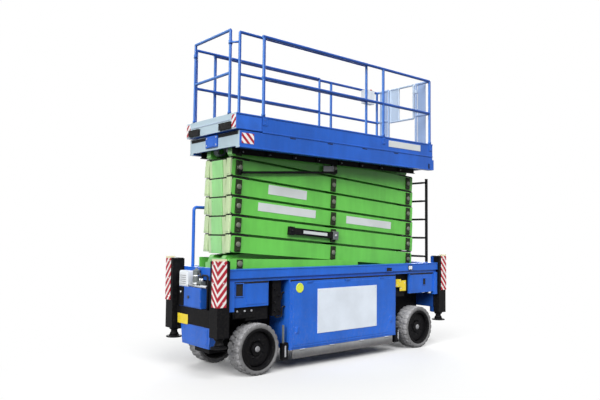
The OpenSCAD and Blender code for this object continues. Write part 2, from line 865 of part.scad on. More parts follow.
chassis_frame();
chassis_core();
scissor_base();
side_boxes();
wheel_covers();
front_axle();
rear_axle();
jack_frames();
jack_guards();
nose_plate();
end_cabinet();
charger_box();
oil_tank();
handrail();
ladder();
pothole_guards();
pothole_brackets();
pump_blocks();
knuckle(-1);  // knuckle_near
knuckle(1);  // knuckle_far
tyre(-hub_x, -1);  // tyre_front_near
tyre(-hub_x, 1);  // tyre_front_far
tyre(hub_x, -1);  // tyre_rear_near
tyre(hub_x, 1);  // tyre_rear_far
rim(-hub_x, -1);  // rim_front_near
rim(-hub_x, 1);  // rim_front_far
rim(hub_x, -1);  // rim_rear_near
rim(hub_x, 1);  // rim_rear_far
leg(-1, -1);  // leg_front_near
leg(-1, 1);  // leg_front_far
leg(1, -1);  // leg_rear_near
leg(1, 1);  // leg_rear_far
outer(1);  // outer_1
outer(2);  // outer_2
outer(3);  // outer_3
outer(4);  // outer_4
outer(5);  // outer_5
outer(6);  // outer_6
inner(1);  // inner_1
inner(2);  // inner_2
inner(3);  // inner_3
inner(4);  // inner_4
inner(5);  // inner_5
inner(6);  // inner_6
barrel(2);  // barrel_lower
barrel(4);  // barrel_upper
rod(2);  // rod_lower
rod(4);  // rod_upper
platform_frame();
platform_deck();
toe_boards();
main_posts();
main_rails();
gate();
control_box();
ext_deck();
ext_posts();
ext_rails();
ext_buffers();
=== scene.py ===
"""Looks of the scissor lift: materials, small fittings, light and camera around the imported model."""

import math

import bmesh
import bpy
from mathutils import Matrix, Vector


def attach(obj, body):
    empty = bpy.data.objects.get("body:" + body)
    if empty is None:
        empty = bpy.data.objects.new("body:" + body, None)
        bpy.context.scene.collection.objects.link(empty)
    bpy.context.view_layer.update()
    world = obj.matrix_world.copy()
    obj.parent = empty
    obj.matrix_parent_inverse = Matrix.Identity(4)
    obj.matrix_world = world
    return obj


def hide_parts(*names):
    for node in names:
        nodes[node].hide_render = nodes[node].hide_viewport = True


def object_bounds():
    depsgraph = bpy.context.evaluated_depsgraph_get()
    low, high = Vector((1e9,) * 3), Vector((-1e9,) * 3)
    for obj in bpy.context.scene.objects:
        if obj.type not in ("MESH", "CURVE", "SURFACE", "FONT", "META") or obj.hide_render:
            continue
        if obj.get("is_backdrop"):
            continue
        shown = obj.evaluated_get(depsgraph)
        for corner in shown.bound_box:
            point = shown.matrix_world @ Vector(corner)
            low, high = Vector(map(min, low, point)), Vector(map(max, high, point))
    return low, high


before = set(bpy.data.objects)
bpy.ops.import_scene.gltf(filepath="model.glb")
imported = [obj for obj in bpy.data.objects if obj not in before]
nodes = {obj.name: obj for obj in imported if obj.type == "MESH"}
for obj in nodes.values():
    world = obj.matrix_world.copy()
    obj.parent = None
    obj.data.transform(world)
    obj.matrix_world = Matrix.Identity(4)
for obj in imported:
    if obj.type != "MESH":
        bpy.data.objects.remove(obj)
cad_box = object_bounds()

# Sizes that the fittings share with the model, in metres
SIDE_Y = 0.564        # faces of the middle box and the top beams
COVER_Y = 0.540       # faces of the covers over the wheels
HEAD_Y = 0.500        # faces of the steering heads
PLAT_Y = 0.555        # sides of platform and extension
POST_Y = 0.5425       # posts of the platform
EXT_POST_Y = 0.490    # posts of the extension
GATE_X = 1.735        # middle plane of the gate
FRONT_X = -1.9895     # just inside the front faces of cabinet and cross beam
PLAT_X = -1.7795      # just inside the platform's front face
EXT_X = -1.8325       # just inside the extension's front face
BED_Z = 1.1303        # just above the chassis floor
SHELF_Z = 0.758       # just inside the top of the front cross beam
TOE_Z = 3.0403        # just above the toe boards
HUB_X, WHEEL_Y, HUB_Z = 1.460, 0.449, 0.300
GUARD_X, GUARD_Y = 2.070, 0.598      # outer faces of the corner guards
COLUMN_X, COLUMN_Y = 1.982, 0.510    # axes of the jacks
END_X, END_Y = -1.8205, 0.397        # posts of the extension's end rail
PIN_X, BASE_Z = -1.600, 1.287        # lowest scissor pin
PITCH, SPAN = 0.230, 3.125           # from pin to pin, up and along
ARM_L = math.hypot(SPAN, PITCH)
ARM_ANGLE = math.atan2(PITCH, SPAN)
OUTER_Y = 0.282       # outer faces of the outer arms
ARMS = range(1, 7)
SIDES = (-1, 1)       # near, far
CORNERS = [(end + "_" + where, sx, sy) for end, sx in (("front", -1), ("rear", 1))
           for where, sy in (("near", -1), ("far", 1))]
UP, DOWN, FORWARD = (0, 0, 1), (0, 0, -1), (-1, 0, 0)


# Materials

class Nodes:
    """The node tree of a material or world, with short ways to add and join nodes."""

    def __init__(self, owner):
        owner.use_nodes = True
        self.owner = owner
        self.tree = owner.node_tree
        self.shader = self.tree.nodes.get("Principled BSDF")
        self.coords = self.add("TexCoord")

    def put(self, value, socket):
        if isinstance(value, bpy.types.NodeSocket):
            self.tree.links.new(value, socket)
        else:
            socket.default_value = value

    def add(self, kind, inputs=None, **settings):
        """A new node, each of whose inputs gets a value or another node's output."""
        node = self.tree.nodes.new("ShaderNode" + kind)
        for name, value in settings.items():
            setattr(node, name, value)
        for key, value in (inputs or {}).items():
            self.put(value, node.inputs[key])
        return node

    def math(self, kind, a, b=0.0, clamp=False):
        return self.add("Math", {0: a, 1: b}, operation=kind, use_clamp=clamp).outputs[0]

    def plus(self, a, b, clamp=False):
        return self.math("ADD", a, b, clamp)

    def minus(self, a, b, clamp=False):
        return self.math("SUBTRACT", a, b, clamp)

    def times(self, a, b):
        return self.math("MULTIPLY", a, b)

    def size(self, value):
        return self.math("ABSOLUTE", value)

    def flip(self, value):
        return self.minus(1.0, value, clamp=True)

    def ramp(self, value, low, high):
        """0 below low, 1 above high, smooth between them."""
        inputs = {"Value": value, "From Min": low, "From Max": high}
        return self.add("MapRange", inputs, interpolation_type="SMOOTHSTEP").outputs["Result"]

    def noise(self, scale, detail=4.0, rough=0.55, stretch=None):
        at = self.coords.outputs["Object"]
        if stretch:
            at = self.add("Mapping", {"Vector": at, "Scale": stretch}).outputs["Vector"]
        inputs = {"Vector": at, "Scale": scale, "Detail": detail, "Roughness": rough}
        return self.add("TexNoise", inputs).outputs["Fac"]

    def mix(self, factor, a, b):
        return self.add("Mix", {"Factor": factor, "A": a, "B": b}, data_type="RGBA").outputs["Result"]

    def xyz(self, output="Object"):
        return self.add("SeparateXYZ", {0: self.coords.outputs[output]}).outputs

    def edges(self, radius):
        """The rounded normal, and how far it leans from the face: high along edges."""
        soft = self.add("Bevel", {"Radius": radius}, samples=6).outputs["Normal"]
        face = self.add("NewGeometry").outputs["Normal"]
        dot = self.add("VectorMath", {0: soft, 1: face}, operation="DOT_PRODUCT")
        return soft, self.flip(dot.outputs["Value"])

    def dress(self, sockets, height, strength, depth, normal):
        """Fill the shader's sockets, with a bump over the normal, and return the material."""
        inputs = {"Strength": strength, "Distance": depth, "Height": height, "Normal": normal}
        sockets["Normal"] = self.add("Bump", inputs).outputs["Normal"]
        for key, value in sockets.items():
            self.put(value, self.shader.inputs[key])
        return self.owner


def new_material(name):
    return Nodes(bpy.data.materials.new(name))


def rgba(color):
    return (*color, 1.0)


def shade(color, factor):
    return rgba([min(1.0, c * factor) for c in color])


def paint(name, color, rough=0.38, vary=0.16, dust=0.0, wear=(0.32, 0.33, 0.35), wear_at=0.62, coat=0.1,
          edge=0.006, pale=None, front=None, pattern=None, spec=0.35):
    """Sprayed metal: uneven tone, dust that gathers low down, rubbed edges and a fine orange-peel skin.
    front is the colour of a painted highlight on faces that look to the front end, pale(n) returns a mask and a
    colour for another paint or for a painted highlight, and pattern(n) returns the colour itself."""
    n = new_material(name)
    fine = n.noise(34.0, 6.0, 0.62)
    streak = n.noise(7.0, 5.0, 0.6, (1.0, 1.0, 0.16))
    tone = n.plus(n.times(n.noise(1.7, 3.0), 0.6), n.times(streak, 0.4))
    uneven = n.ramp(tone, 0.30, 0.70)
    if pattern:
        body = n.mix(n.times(n.ramp(tone, 0.35, 0.7), 0.133), pattern(n), rgba((0.25, 0.22, 0.20)))
    else:
        body = n.mix(uneven, shade(color, 1.0 - vary), shade(color, 1.0 + vary))
    if front:
        # Painted highlight on faces that look to the front end.
        body = n.mix(n.times(faces_front(n), 0.8), body, rgba(front))
    if pale:
        mask, light = pale(n)
        body = n.mix(mask, body, n.mix(uneven, shade(light, 0.90), shade(light, 1.04)))
    low = n.flip(n.ramp(n.xyz()[2], 0.15, 1.15))
    grime = n.times(n.ramp(fine, 0.42, 0.72), n.plus(n.times(low, dust), 0.03))
    body = n.mix(grime, body, rgba((0.26, 0.23, 0.19)))
    normal, lean = n.edges(edge)
    rubbed = n.times(n.ramp(lean, 0.02, 0.16), n.ramp(fine, wear_at - 0.08, wear_at + 0.06))
    body = n.mix(n.times(rubbed, 0.75), body, rgba(wear))
    gloss = n.plus(n.plus(rough - 0.08, n.times(fine, 0.16)), n.times(grime, 0.45), clamp=True)
    return n.dress({"Base Color": body, "Roughness": gloss, "Specular IOR Level": spec, "Coat Weight": coat,
                    "Coat Roughness": 0.18}, n.noise(190.0, 2.0), 0.05, 0.0015, normal)


def bare_metal(name, color, rough):
    """Plated or polished metal with smears and fine scratches."""
    n = new_material(name)
    scratch = n.noise(60.0, 4.0, 0.6, (1.0, 6.0, 6.0))
    body = n.mix(n.noise(11.0, 5.0), shade(color, 0.88), shade(color, 1.12))
    gloss = n.plus(rough - 0.1, n.times(scratch, 0.24), clamp=True)
    return n.dress({"Base Color": body, "Metallic": 1.0, "Roughness": gloss}, scratch, 0.05, 0.001,
                   n.edges(0.002)[0])


def rubber(name, color, dusty):
    """Rubber with a chalky bloom and dust pressed into its surface."""
    n = new_material(name)
    grit = n.noise(85.0, 6.0, 0.65)
    body = n.mix(n.ramp(n.noise(6.0, 5.0), 0.3, 0.7), shade(color, 0.8), shade(color, 1.15))
    body = n.mix(n.times(n.ramp(grit, 0.45, 0.7), dusty), body, rgba((0.33, 0.31, 0.28)))
    gloss = n.plus(0.76, n.times(grit, 0.14), clamp=True)
    return n.dress({"Base Color": body, "Roughness": gloss, "Specular IOR Level": 0.2}, grit, 0.18, 0.0015,
                   n.edges(0.003)[0])


def plastic(name, color, rough=0.45):
    """Moulded plastic with a fine grain and faint handling marks."""
    n = new_material(name)
    marks = n.noise(9.0, 5.0)
    body = n.mix(n.ramp(marks, 0.35, 0.75), shade(color, 1.05), shade(color, 0.84))
    gloss = n.plus(rough - 0.06, n.times(marks, 0.16))
    return n.dress({"Base Color": body, "Roughness": gloss}, n.noise(420.0, 2.0), 0.12, 0.0006,
                   n.edges(0.003)[0])


def sign_material(name, color):
    """Blank printed plate: even, slightly faded, specked, with a soft sheen."""
    n = new_material(name)
    fade = n.noise(2.4, 4.0)
    speck = n.noise(120.0, 3.0)
    body = n.mix(n.ramp(fade, 0.3, 0.75), rgba(color), shade(color, 0.86))
    body = n.mix(n.times(n.ramp(speck, 0.62, 0.78), 0.25), body, rgba((0.35, 0.34, 0.33)))
    gloss = n.plus(0.26, n.times(fade, 0.2))
    return n.dress({"Base Color": body, "Roughness": gloss}, speck, 0.03, 0.0005, n.edges(0.002)[0])


def deck_material(name, color, side=None):
    """Deck sheet with raised bars in a basket pattern on top; its edges may have another paint, and then its faces
    that look to the front end get a painted highlight.
    """
    n = new_material(name)
    x, y, _ = n.xyz()
    lean_a, lean_b = n.plus(x, y), n.minus(x, y)

    def pulse(along, pitch, low, high):
        off_middle = n.size(n.minus(n.math("FRACT", n.math("DIVIDE", along, pitch)), 0.5))
        return n.flip(n.ramp(off_middle, low, high))

    def bars(along, across):
        return n.times(pulse(along, 0.060, 0.20, 0.28), pulse(across, 0.030, 0.10, 0.20))

    basket = n.math("MAXIMUM", bars(lean_a, lean_b), bars(lean_b, n.plus(lean_a, 0.015)))
    up = n.ramp(n.xyz("Normal")[2], 0.6, 0.8)
    relief = n.times(basket, up)
    dirt = n.noise(4.0, 6.0)
    grit = n.noise(60.0, 6.0)
    body = n.mix(n.ramp(dirt, 0.35, 0.7), shade(color, 1.08), shade(color, 0.72))
    body = n.mix(n.times(relief, 0.35), body, rgba((0.62, 0.64, 0.66)))
    if side:
        body = n.mix(up, n.mix(n.ramp(dirt, 0.3, 0.7), shade(side, 0.84), shade(side, 1.16)), body)
        # Painted highlight on faces that look to the front end.
        body = n.mix(faces_front(n), body, rgba(FRONT_HIGHLIGHT))
    normal, lean = n.edges(0.005)
    rubbed = n.times(n.ramp(lean, 0.02, 0.16), n.ramp(grit, 0.55, 0.68))
    body = n.mix(n.times(rubbed, 0.7), body, rgba((0.34, 0.35, 0.37)))
    gloss = n.plus(0.34, n.times(grit, 0.2))
    return n.dress({"Base Color": body, "Roughness": gloss}, relief, 0.5, 0.003, normal)


BLUE = (0.014, 0.112, 0.530)
GREEN = (0.115, 0.470, 0.066)
RED = (0.400, 0.007, 0.026)
# FRONT_HIGHLIGHT is a painted highlight: the pale colour given to faces that look to the front end, toward the key
# lamp.
FRONT_HIGHLIGHT = (0.440, 0.560, 0.630)
INK = (0.004, 0.004, 0.005)
SHEET = (0.42, 0.46, 0.52)


def faces_front(n):
    """1 on faces that look to the front end of the machine."""
    return n.flip(n.ramp(n.xyz("Normal")[0], -0.75, -0.55))


def painted_highlight_front(n):
    """Painted highlight: the platform's outermost faces that look to the front end are pale, for the key lamp's
    light.
    """
    outermost = n.flip(n.ramp(n.xyz()[0], -1.765, -1.755))
    return n.times(faces_front(n), outermost), FRONT_HIGHLIGHT


def painted_highlight_arm_end(n):
    """Painted highlight: the arms' faces that look to the front end are a pale green."""
    return n.times(faces_front(n), 0.75), (0.330, 0.660, 0.270)


def painted_highlight_gate_end(n):
    """Painted highlight: the posts and sheets beside the gate are paler than the rails, washed out by the light at
    the rear end.
    """
    x, y, _ = n.xyz()
    inside = n.flip(n.ramp(n.size(y), 0.475, 0.485))
    return n.times(n.ramp(x, 1.690, 1.705), inside), (0.310, 0.415, 0.620)


def blue_inside(n):
    """The rear cross beam is blue on its inner side."""
    x, y, _ = n.xyz()
    inside = n.minus(n.ramp(x, 1.80, 1.82), n.ramp(n.size(y), 0.480, 0.490), clamp=True)
    return n.times(faces_front(n), inside), (0.010, 0.060, 0.280)


def darker_lower_edge(n):
    """Darker grey towards the lower edge of the pothole guards, with a ragged line."""
    height = n.plus(n.xyz()[2], n.times(n.noise(5.0, 4.0, 0.6, (1.0, 1.0, 0.3)), 0.05))
    return n.flip(n.ramp(height, 0.175, 0.340)), (0.085, 0.085, 0.090)


def stripes(n, along, pitch, share, white):
    """Red bands on white, each taking a share of the pitch."""
    phase = n.math("FRACT", n.math("DIVIDE", along, pitch))
    band = n.minus(n.ramp(phase, 0.0, 0.03), n.ramp(phase, share, share + 0.03), clamp=True)
    return n.mix(band, rgba(white), rgba(RED))


def guard_stripes(n):
    """V stripes folded round the corner of a guard, with a pale top."""
    x, y, z = n.xyz()
    reach = n.minus(GUARD_X + GUARD_Y, n.plus(n.size(x), n.size(y)))
    striped = stripes(n, n.minus(z, n.times(reach, 1.15)), 0.097, 0.57, (0.82, 0.80, 0.78))
    return n.mix(n.ramp(z, 1.333, 1.336), striped, rgba((0.74, 0.68, 0.46)))


def plate_stripes(n):
    """Slanted warning stripes for the small plates on the platform."""
    x, y, z = n.xyz()
    return stripes(n, n.plus(n.plus(x, y), z), 0.092, 0.49, (0.84, 0.82, 0.82))


DARK = dict(rough=0.52, vary=0.3, wear=(0.10, 0.10, 0.11), coat=0.0, spec=0.07)
RUBBED = dict(vary=0.14, wear=(0.36, 0.33, 0.24))
DULL = dict(coat=0.0, spec=0.15)
M = {
    "blue": paint("blue_paint", BLUE, dust=0.10, spec=0.25),
    # The platform paint gets a painted highlight on its outermost front faces.
    "blue_platform": paint("blue_platform_paint", (0.013, 0.098, 0.475), pale=painted_highlight_front, spec=0.25),
    # The rail paint gets painted highlights on faces that look to the front end and beside the gate.
    "blue_rail": paint("blue_rail_paint", (0.010, 0.070, 0.340), pale=painted_highlight_gate_end, edge=0.003,
                       spec=0.25, front=(0.085, 0.240, 0.620)),
    # The arm paint is lit pale green on faces that look to the front end: painted highlight.
    "green": paint("green_paint", GREEN, pale=painted_highlight_arm_end, wear=(0.20, 0.22, 0.18)),
    "black": paint("black_paint", INK, **DARK),
    "frames": paint("frame_paint", INK, pale=blue_inside, **DARK),
    "olive": paint("olive_paint", (0.017, 0.026, 0.011), rough=0.5, vary=0.3,
                   wear=(0.16, 0.18, 0.13), coat=0.0, spec=0.12),
    "white": paint("white_paint", (0.74, 0.77, 0.80), dust=0.2, vary=0.06),
    "gate": paint("gate_paint", (0.430, 0.525, 0.650), vary=0.06, edge=0.003),
    "grey": paint("grey_paint", (0.40, 0.41, 0.43), dust=0.3),
    "tank": paint("tank_paint", (0.115, 0.130, 0.130), dust=0.2),
    "skirt": paint("skirt_paint", (0.50, 0.52, 0.54), dust=0.22, vary=0.10, pale=darker_lower_edge),
    "yellow": paint("yellow_paint", (0.78, 0.60, 0.03), dust=0.2, vary=0.08),
    "lime": paint("lime_paint", (0.62, 0.70, 0.06), dust=0.15, vary=0.08),
    "stripes": paint("stripe_paint", RED, dust=0.2, wear=(0.50, 0.48, 0.46), wear_at=0.68,
                     pattern=guard_stripes, **DULL),
    "plate_stripes": paint("plate_stripe_paint", RED, wear_at=0.7, edge=0.002,
                           pattern=plate_stripes, **DULL),
    "pin": paint("pin_paint", (0.130, 0.142, 0.105), vary=0.3),
    # The plates on the arms' front ends are paler than the green at the rear ends: painted highlight.
    "arm_end": paint("arm_end_highlight_paint", (0.480, 0.620, 0.350), wear_at=0.50, **RUBBED),
    "arm_end_green": paint("arm_end_green_highlight_paint", (0.290, 0.640, 0.245), wear_at=0.52, **RUBBED),
    "deck": deck_material("deck_paint", SHEET),
    # The extension deck's front faces carry a painted highlight.
    "ext_deck": deck_material("ext_deck_paint", SHEET, BLUE),
    "chrome": bare_metal("rod_chrome", (0.78, 0.79, 0.81), 0.18),
    "zinc": bare_metal("zinc_bolts", (0.62, 0.63, 0.64), 0.40),
    "tyre": rubber("tyre_rubber", (0.150, 0.150, 0.156), 0.30),
    "tread": rubber("tread_rubber", (0.280, 0.280, 0.290), 0.40),
    "bead": rubber("bead_rubber", (0.020, 0.020, 0.021), 0.10),
    "rubber": rubber("black_rubber", (0.010, 0.010, 0.011), 0.08),
    "cap": plastic("hub_cap_plastic", (0.20, 0.20, 0.21)),
    "plastic": plastic("control_plastic", (0.62, 0.66, 0.70)),
    "dark_plastic": plastic("dark_plastic", (0.020, 0.020, 0.022)),
    "red_plastic": plastic("red_plastic", (0.55, 0.012, 0.012), 0.35),
    "lamp": plastic("lamp_lens", (0.78, 0.82, 0.88), 0.2),
    "sign": sign_material("blank_sign", (0.70, 0.76, 0.84)),
    "label": sign_material("blank_label", (0.60, 0.63, 0.63)),
}

# Materials of the CAD nodes, by whole name or by its start; the others are blue
BY_NODE = {
    # chassis_core gets black paint as painted shade: it stands deep in the chassis's shadow.
    "chassis_core": "black", "scissor_base": "green", "front_axle": "black", "rear_axle": "black",
    "jack_frames": "frames", "ladder": "black", "pump_blocks": "black", "pothole_brackets": "black",
    "jack_guards": "stripes", "charger_box": "white", "oil_tank": "tank", "pothole_guards": "skirt",
    "platform_frame": "blue_platform", "toe_boards": "blue_platform", "main_posts": "blue_rail",
    "main_rails": "blue_rail", "ext_posts": "blue_rail", "ext_rails": "blue_rail", "gate": "gate",
    "platform_deck": "deck", "ext_deck": "ext_deck", "control_box": "plastic", "ext_buffers": "rubber",
}
BY_START = {
    "outer_": "green", "inner_": "green", "rim_": "black", "tyre_": "tyre", "knuckle_": "black", "leg_": "black",
    "barrel_": "black", "rod_": "chrome",
}
for name, obj in nodes.items():
    key = BY_NODE.get(name) or next((v for k, v in BY_START.items() if name.startswith(k)), "blue")
    obj.data.materials.clear()
    obj.data.materials.append(M[key])


# Mesh building

class Piece:
    """A mesh put together from bevelled boxes, turned shapes and tubes, each with its own material."""

    def __init__(self, name, body, slot):
        self.name = name
        self.body = body
        self.slot = slot
        self.bm = bmesh.new()
        self.keys = []

    def index(self, key):
        if key not in self.keys:
            self.keys.append(key)
        return self.keys.index(key)

    def merge(self, part):
        mesh = bpy.data.meshes.new("part")
        part.to_mesh(mesh)
        part.free()
        self.bm.from_mesh(mesh)
        bpy.data.meshes.remove(mesh)

    def take(self, part, key, place=None, smooth=False):
        if place is not None:
            bmesh.ops.transform(part, matrix=place, verts=part.verts)
        at = self.index(key)
        for face in part.faces:
            face.material_index = at
            face.smooth = smooth
        self.merge(part)

    def box(self, lo, hi, key, bevel=0.004, place=None):
        part = bmesh.new()
        bmesh.ops.create_cube(part, size=1.0)
        size = [b - a for a, b in zip(lo, hi)]
        middle = [(a + b) / 2 for a, b in zip(lo, hi)]
        bmesh.ops.scale(part, vec=size, verts=part.verts)
        bmesh.ops.translate(part, vec=middle, verts=part.verts)
        width = min(bevel, 0.45 * min(size))
        if width > 0:
            bmesh.ops.bevel(part, geom=part.edges[:], offset=width, segments=2, profile=0.7, affect="EDGES")
        self.take(part, key, place)

    def slab(self, side, x, y, z, key, bevel=0.004, place=None):
        """A box from its reach along each axis; y counts outward on one side of the machine."""
        x0, x1 = sorted(x)
        y0, y1 = sorted((side * y[0], side * y[1]))
        self.box((x0, y0, z[0]), (x1, y1, z[1]), key, bevel, place)

    def turned(self, profile, origin, axis, key, steps=32, place=None):
        """Revolve (radius, distance) points about an axis through origin."""
        part = bmesh.new()
        origin, axis = Vector(origin), Vector(axis).normalized()
        side = axis.orthogonal().normalized()
        other = axis.cross(side)
        turns = [2 * math.pi * i / steps for i in range(steps)]
        rings = []
        for radius, along in profile:
            ring = [origin + axis * along]
            if radius > 0:
                ring = [ring[0] + radius * (math.cos(a) * side + math.sin(a) * other) for a in turns]
            rings.append([part.verts.new(spot) for spot in ring])
        for low, high in zip(rings, rings[1:]):
            for i in range(steps):
                j = (i + 1) % steps
                corners = [low[i % len(low)], low[j % len(low)], high[j % len(high)], high[i % len(high)]]
                unique = list(dict.fromkeys(corners))
                if len(unique) > 2:
                    part.faces.new(unique)
        bmesh.ops.recalc_face_normals(part, faces=part.faces)
        self.take(part, key, place, smooth=steps > 12)

    def rod(self, start, end, radius, key, steps=20, place=None):
        start, end = Vector(start), Vector(end)
        length = (end - start).length
        cut = min(radius * 0.15, length * 0.2)
        self.turned([(0, 0), (radius - cut, 0), (radius, cut), (radius, length - cut), (radius - cut, length),
                     (0, length)], start, end - start, key, steps, place)

    def bolt(self, at, axis, size, key="zinc", place=None):
        """Hexagon head on a washer."""
        h = size * 0.55
        self.turned([(0, 0), (size * 0.95, 0), (size * 0.95, h * 0.22), (0, h * 0.22)], at, axis, key, 20, place)
        self.turned([(0, h * 0.2), (size * 0.62, h * 0.2), (size * 0.62, h * 0.85), (size * 0.5, h), (0, h)],
                    at, axis, key, 6, place)

    def tube(self, points, radius, key):
        """Pipe through points with rounded corners."""
        path = bpy.data.curves.new("path", "CURVE")
        path.dimensions = "3D"
        path.bevel_depth = radius
        path.bevel_resolution = 3
        path.use_fill_caps = True
        spline = path.splines.new("POLY")
        bends = rounded(points)
        spline.points.add(len(bends) - 1)
        for point, spot in zip(spline.points, bends):
            point.co = (*spot, 1.0)
        holder = bpy.data.objects.new("path", path)
        mesh = bpy.data.meshes.new_from_object(holder)
        bpy.data.objects.remove(holder)
        bpy.data.curves.remove(path)
        part = bmesh.new()
        part.from_mesh(mesh)
        bpy.data.meshes.remove(mesh)
        self.take(part, key, smooth=True)

    def done(self, replaces=()):
        mesh = bpy.data.meshes.new(self.name)
        bmesh.ops.remove_doubles(self.bm, verts=self.bm.verts, dist=1e-6)
        self.bm.to_mesh(mesh)
        self.bm.free()
        for key in self.keys:
            mesh.materials.append(M[key])
        obj = bpy.data.objects.new(self.name, mesh)
        bpy.context.scene.collection.objects.link(obj)
        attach(obj, self.body)
        if replaces:
            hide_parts(*replaces)


def rounded(points, radius=0.03, steps=5):
    """A path's points, with each inner corner replaced by a short curve."""
    points = [Vector(p) for p in points]
    path = [points[0]]
    for before, corner, after in zip(points, points[1:], points[2:]):
        a = corner + (before - corner).normalized() * min(radius, (before - corner).length / 2)
        b = corner + (after - corner).normalized() * min(radius, (after - corner).length / 2)
        for i in range(steps + 1):
            t = i / steps
            path.append((1 - t) ** 2 * a + 2 * t * (1 - t) * corner + t ** 2 * b)
    path.append(points[-1])
    return path


def about(middle, half):
    return middle - half, middle + half


def button(radius, top, shoulder, height):
    """Profile of a round head with a chamfer."""
    return [(0, 0), (radius, 0), (radius, shoulder), (top, height), (0, height)]


def collar(inner, outer, top, shoulder, height):
    """Profile of a ring with a chamfer."""
    return [(inner, 0), (outer, 0), (outer, shoulder), (top, height), (inner, height)]


# Wheels: tyres with moulded tread blocks, hubs with wheel nuts

TREAD_STEPS, LUGS = 144, 24
TREAD_R, WALL_R, SHOULDER_R, BEAD_R = 0.2895, 0.285, 0.270, 0.243
GROOVE_Y = 0.030
TYRE_HALF = [(0.2325, 0.100), (0.244, 0.1085), (0.262, 0.115), (0.274, 0.114), (0.282, 0.110)] + \
    [(TREAD_R, along) for along in (0.098, 0.062, 0.060, GROOVE_Y, 0.028)]
TYRE_PROFILE = [(radius, -along) for radius, along in TYRE_HALF] + [(TREAD_R, 0.0)] + TYRE_HALF[::-1]


def tyre(name, x, side):
    piece = Piece("tread_" + name, "wheel_" + name, "tyre_rubber")
    part = bmesh.new()
    per = TREAD_STEPS // LUGS
    rings = []
    for i in range(TREAD_STEPS):
        a = 2 * math.pi * i / TREAD_STEPS
        ring = []
        for radius, along in TYRE_PROFILE:
            spot = (i + (per // 2 if along > 0 else 0)) % per
            raised = spot < per * 0.62 if abs(along) >= GROOVE_Y else spot >= per * 0.2
            if raised and radius > SHOULDER_R:
                radius += 0.004 if abs(along) == GROOVE_Y else 0.010
            ring.append(part.verts.new((radius * math.cos(a), along * side, radius * math.sin(a))))
        rings.append(ring)
    for low, high in zip(rings, rings[1:] + rings[:1]):
        for j in range(len(low)):
            k = (j + 1) % len(low)
            part.faces.new([low[j], low[k], high[k], high[j]])
    bmesh.ops.recalc_face_normals(part, faces=part.faces)
    for edge in part.edges:
        if edge.calc_face_angle(0) > 0.6:
            edge.smooth = False
    wall, tread, bead = piece.index("tyre"), piece.index("tread"), piece.index("bead")
    for face in part.faces:
        face.smooth = True
        reach = min(math.hypot(v.co.x, v.co.z) for v in face.verts)
        face.material_index = tread if reach > WALL_R else bead if reach < BEAD_R else wall
    bmesh.ops.translate(part, vec=(x, side * WHEEL_Y, HUB_Z), verts=part.verts)
    piece.merge(part)
    piece.done(["tyre_" + name])


def hub(name, x, side):
    piece = Piece("hub_" + name, "wheel_" + name, "black_paint")
    out = (0, side, 0)
    face_y = side * (WHEEL_Y + 0.045)
    cap = (x, side * (WHEEL_Y + 0.070) + side * 0.001, HUB_Z)
    piece.turned([(0.206, -0.004), (0.206, 0.006), (0.190, 0.012), (0.150, 0.006), (0.120, 0.010), (0.078, 0.010),
                  (0.078, 0), (0.206, -0.004)], (x, face_y + side * 0.001, HUB_Z), out, "black", 48)
    for i in range(8):
        a = math.pi * (2 * i + 1) / 8
        piece.bolt((x + 0.105 * math.cos(a), face_y + side * 0.010, HUB_Z + 0.105 * math.sin(a)), out, 0.016, "black")
    piece.turned([(0, -0.012), (0.064, -0.012), (0.064, -0.003), (0.056, 0.004), (0.040, 0.006), (0, 0.006)],
                 cap, out, "black")
    piece.turned([(0, 0.006), (0.036, 0.006), (0.034, 0.012), (0.024, 0.017), (0, 0.018)], cap, out, "cap", 28)
    piece.turned([(0.232, 0), (0.2335, 0.012), (0.224, 0.014), (0.216, 0.004), (0.216, 0), (0.232, 0)],
                 (x, side * (WHEEL_Y + 0.098), HUB_Z), out, "black", 64)
    piece.done()


for name, sx, side in CORNERS:
    tyre(name, sx * HUB_X, side)
    hub(name, sx * HUB_X, side)


# Scissor arms: dark pin plates with bolts, plates on the arm ends, blank labels and bars

def outer_place(k):
    return Matrix.Translation((PIN_X, 0, BASE_Z + k * PITCH)) @ Matrix.Rotation(ARM_ANGLE, 4, "Y")


def inner_place(k):
    return Matrix.Translation((PIN_X, 0, BASE_Z + (k - 1) * PITCH)) @ Matrix.Rotation(-ARM_ANGLE, 4, "Y")


for k in ARMS:
    place = outer_place(k)
    face = OUTER_Y + 0.018
    plates = Piece("pin_plates_%d" % k, "outer_%d" % k, "black_paint")
    for side in SIDES:
        out = (0, side, 0)
        for s in (0.0, ARM_L / 2, ARM_L):
            plates.slab(side, about(s, 0.043), (OUTER_Y, face), (-0.088, 0.088), "olive", 0.005, place)
            plates.turned(button(0.032, 0.027, 0.006, 0.010), (s, side * face, 0), out, "pin", 28, place)
            for dz in (-0.066, 0.066):
                plates.bolt((s, side * face, dz), out, 0.013, "olive", place)
    plates.done()

base = Piece("base_pin_plates", "chassis", "black_paint")
base_in, base_face, rail_z = 0.3355, 0.343, 1.142
for side in SIDES:
    base.slab(side, about(PIN_X, 0.043), (base_in, base_face), (BASE_Z - 0.088, BASE_Z + 0.052), "olive")
    base.turned(button(0.036, 0.030, 0.006, 0.009), (PIN_X, side * base_face, BASE_Z), (0, side, 0), "pin", 28)
    base.slab(side, (-1.745, 0.395), (base_in, 0.350), (BED_Z, rail_z), "green", 0.003)
    for x in (-1.450, -1.150, -0.850, -0.550, -0.250, 0.050, 0.340):
        base.bolt((x, side * base_face, rail_z), UP, 0.006, "green")
base.done()


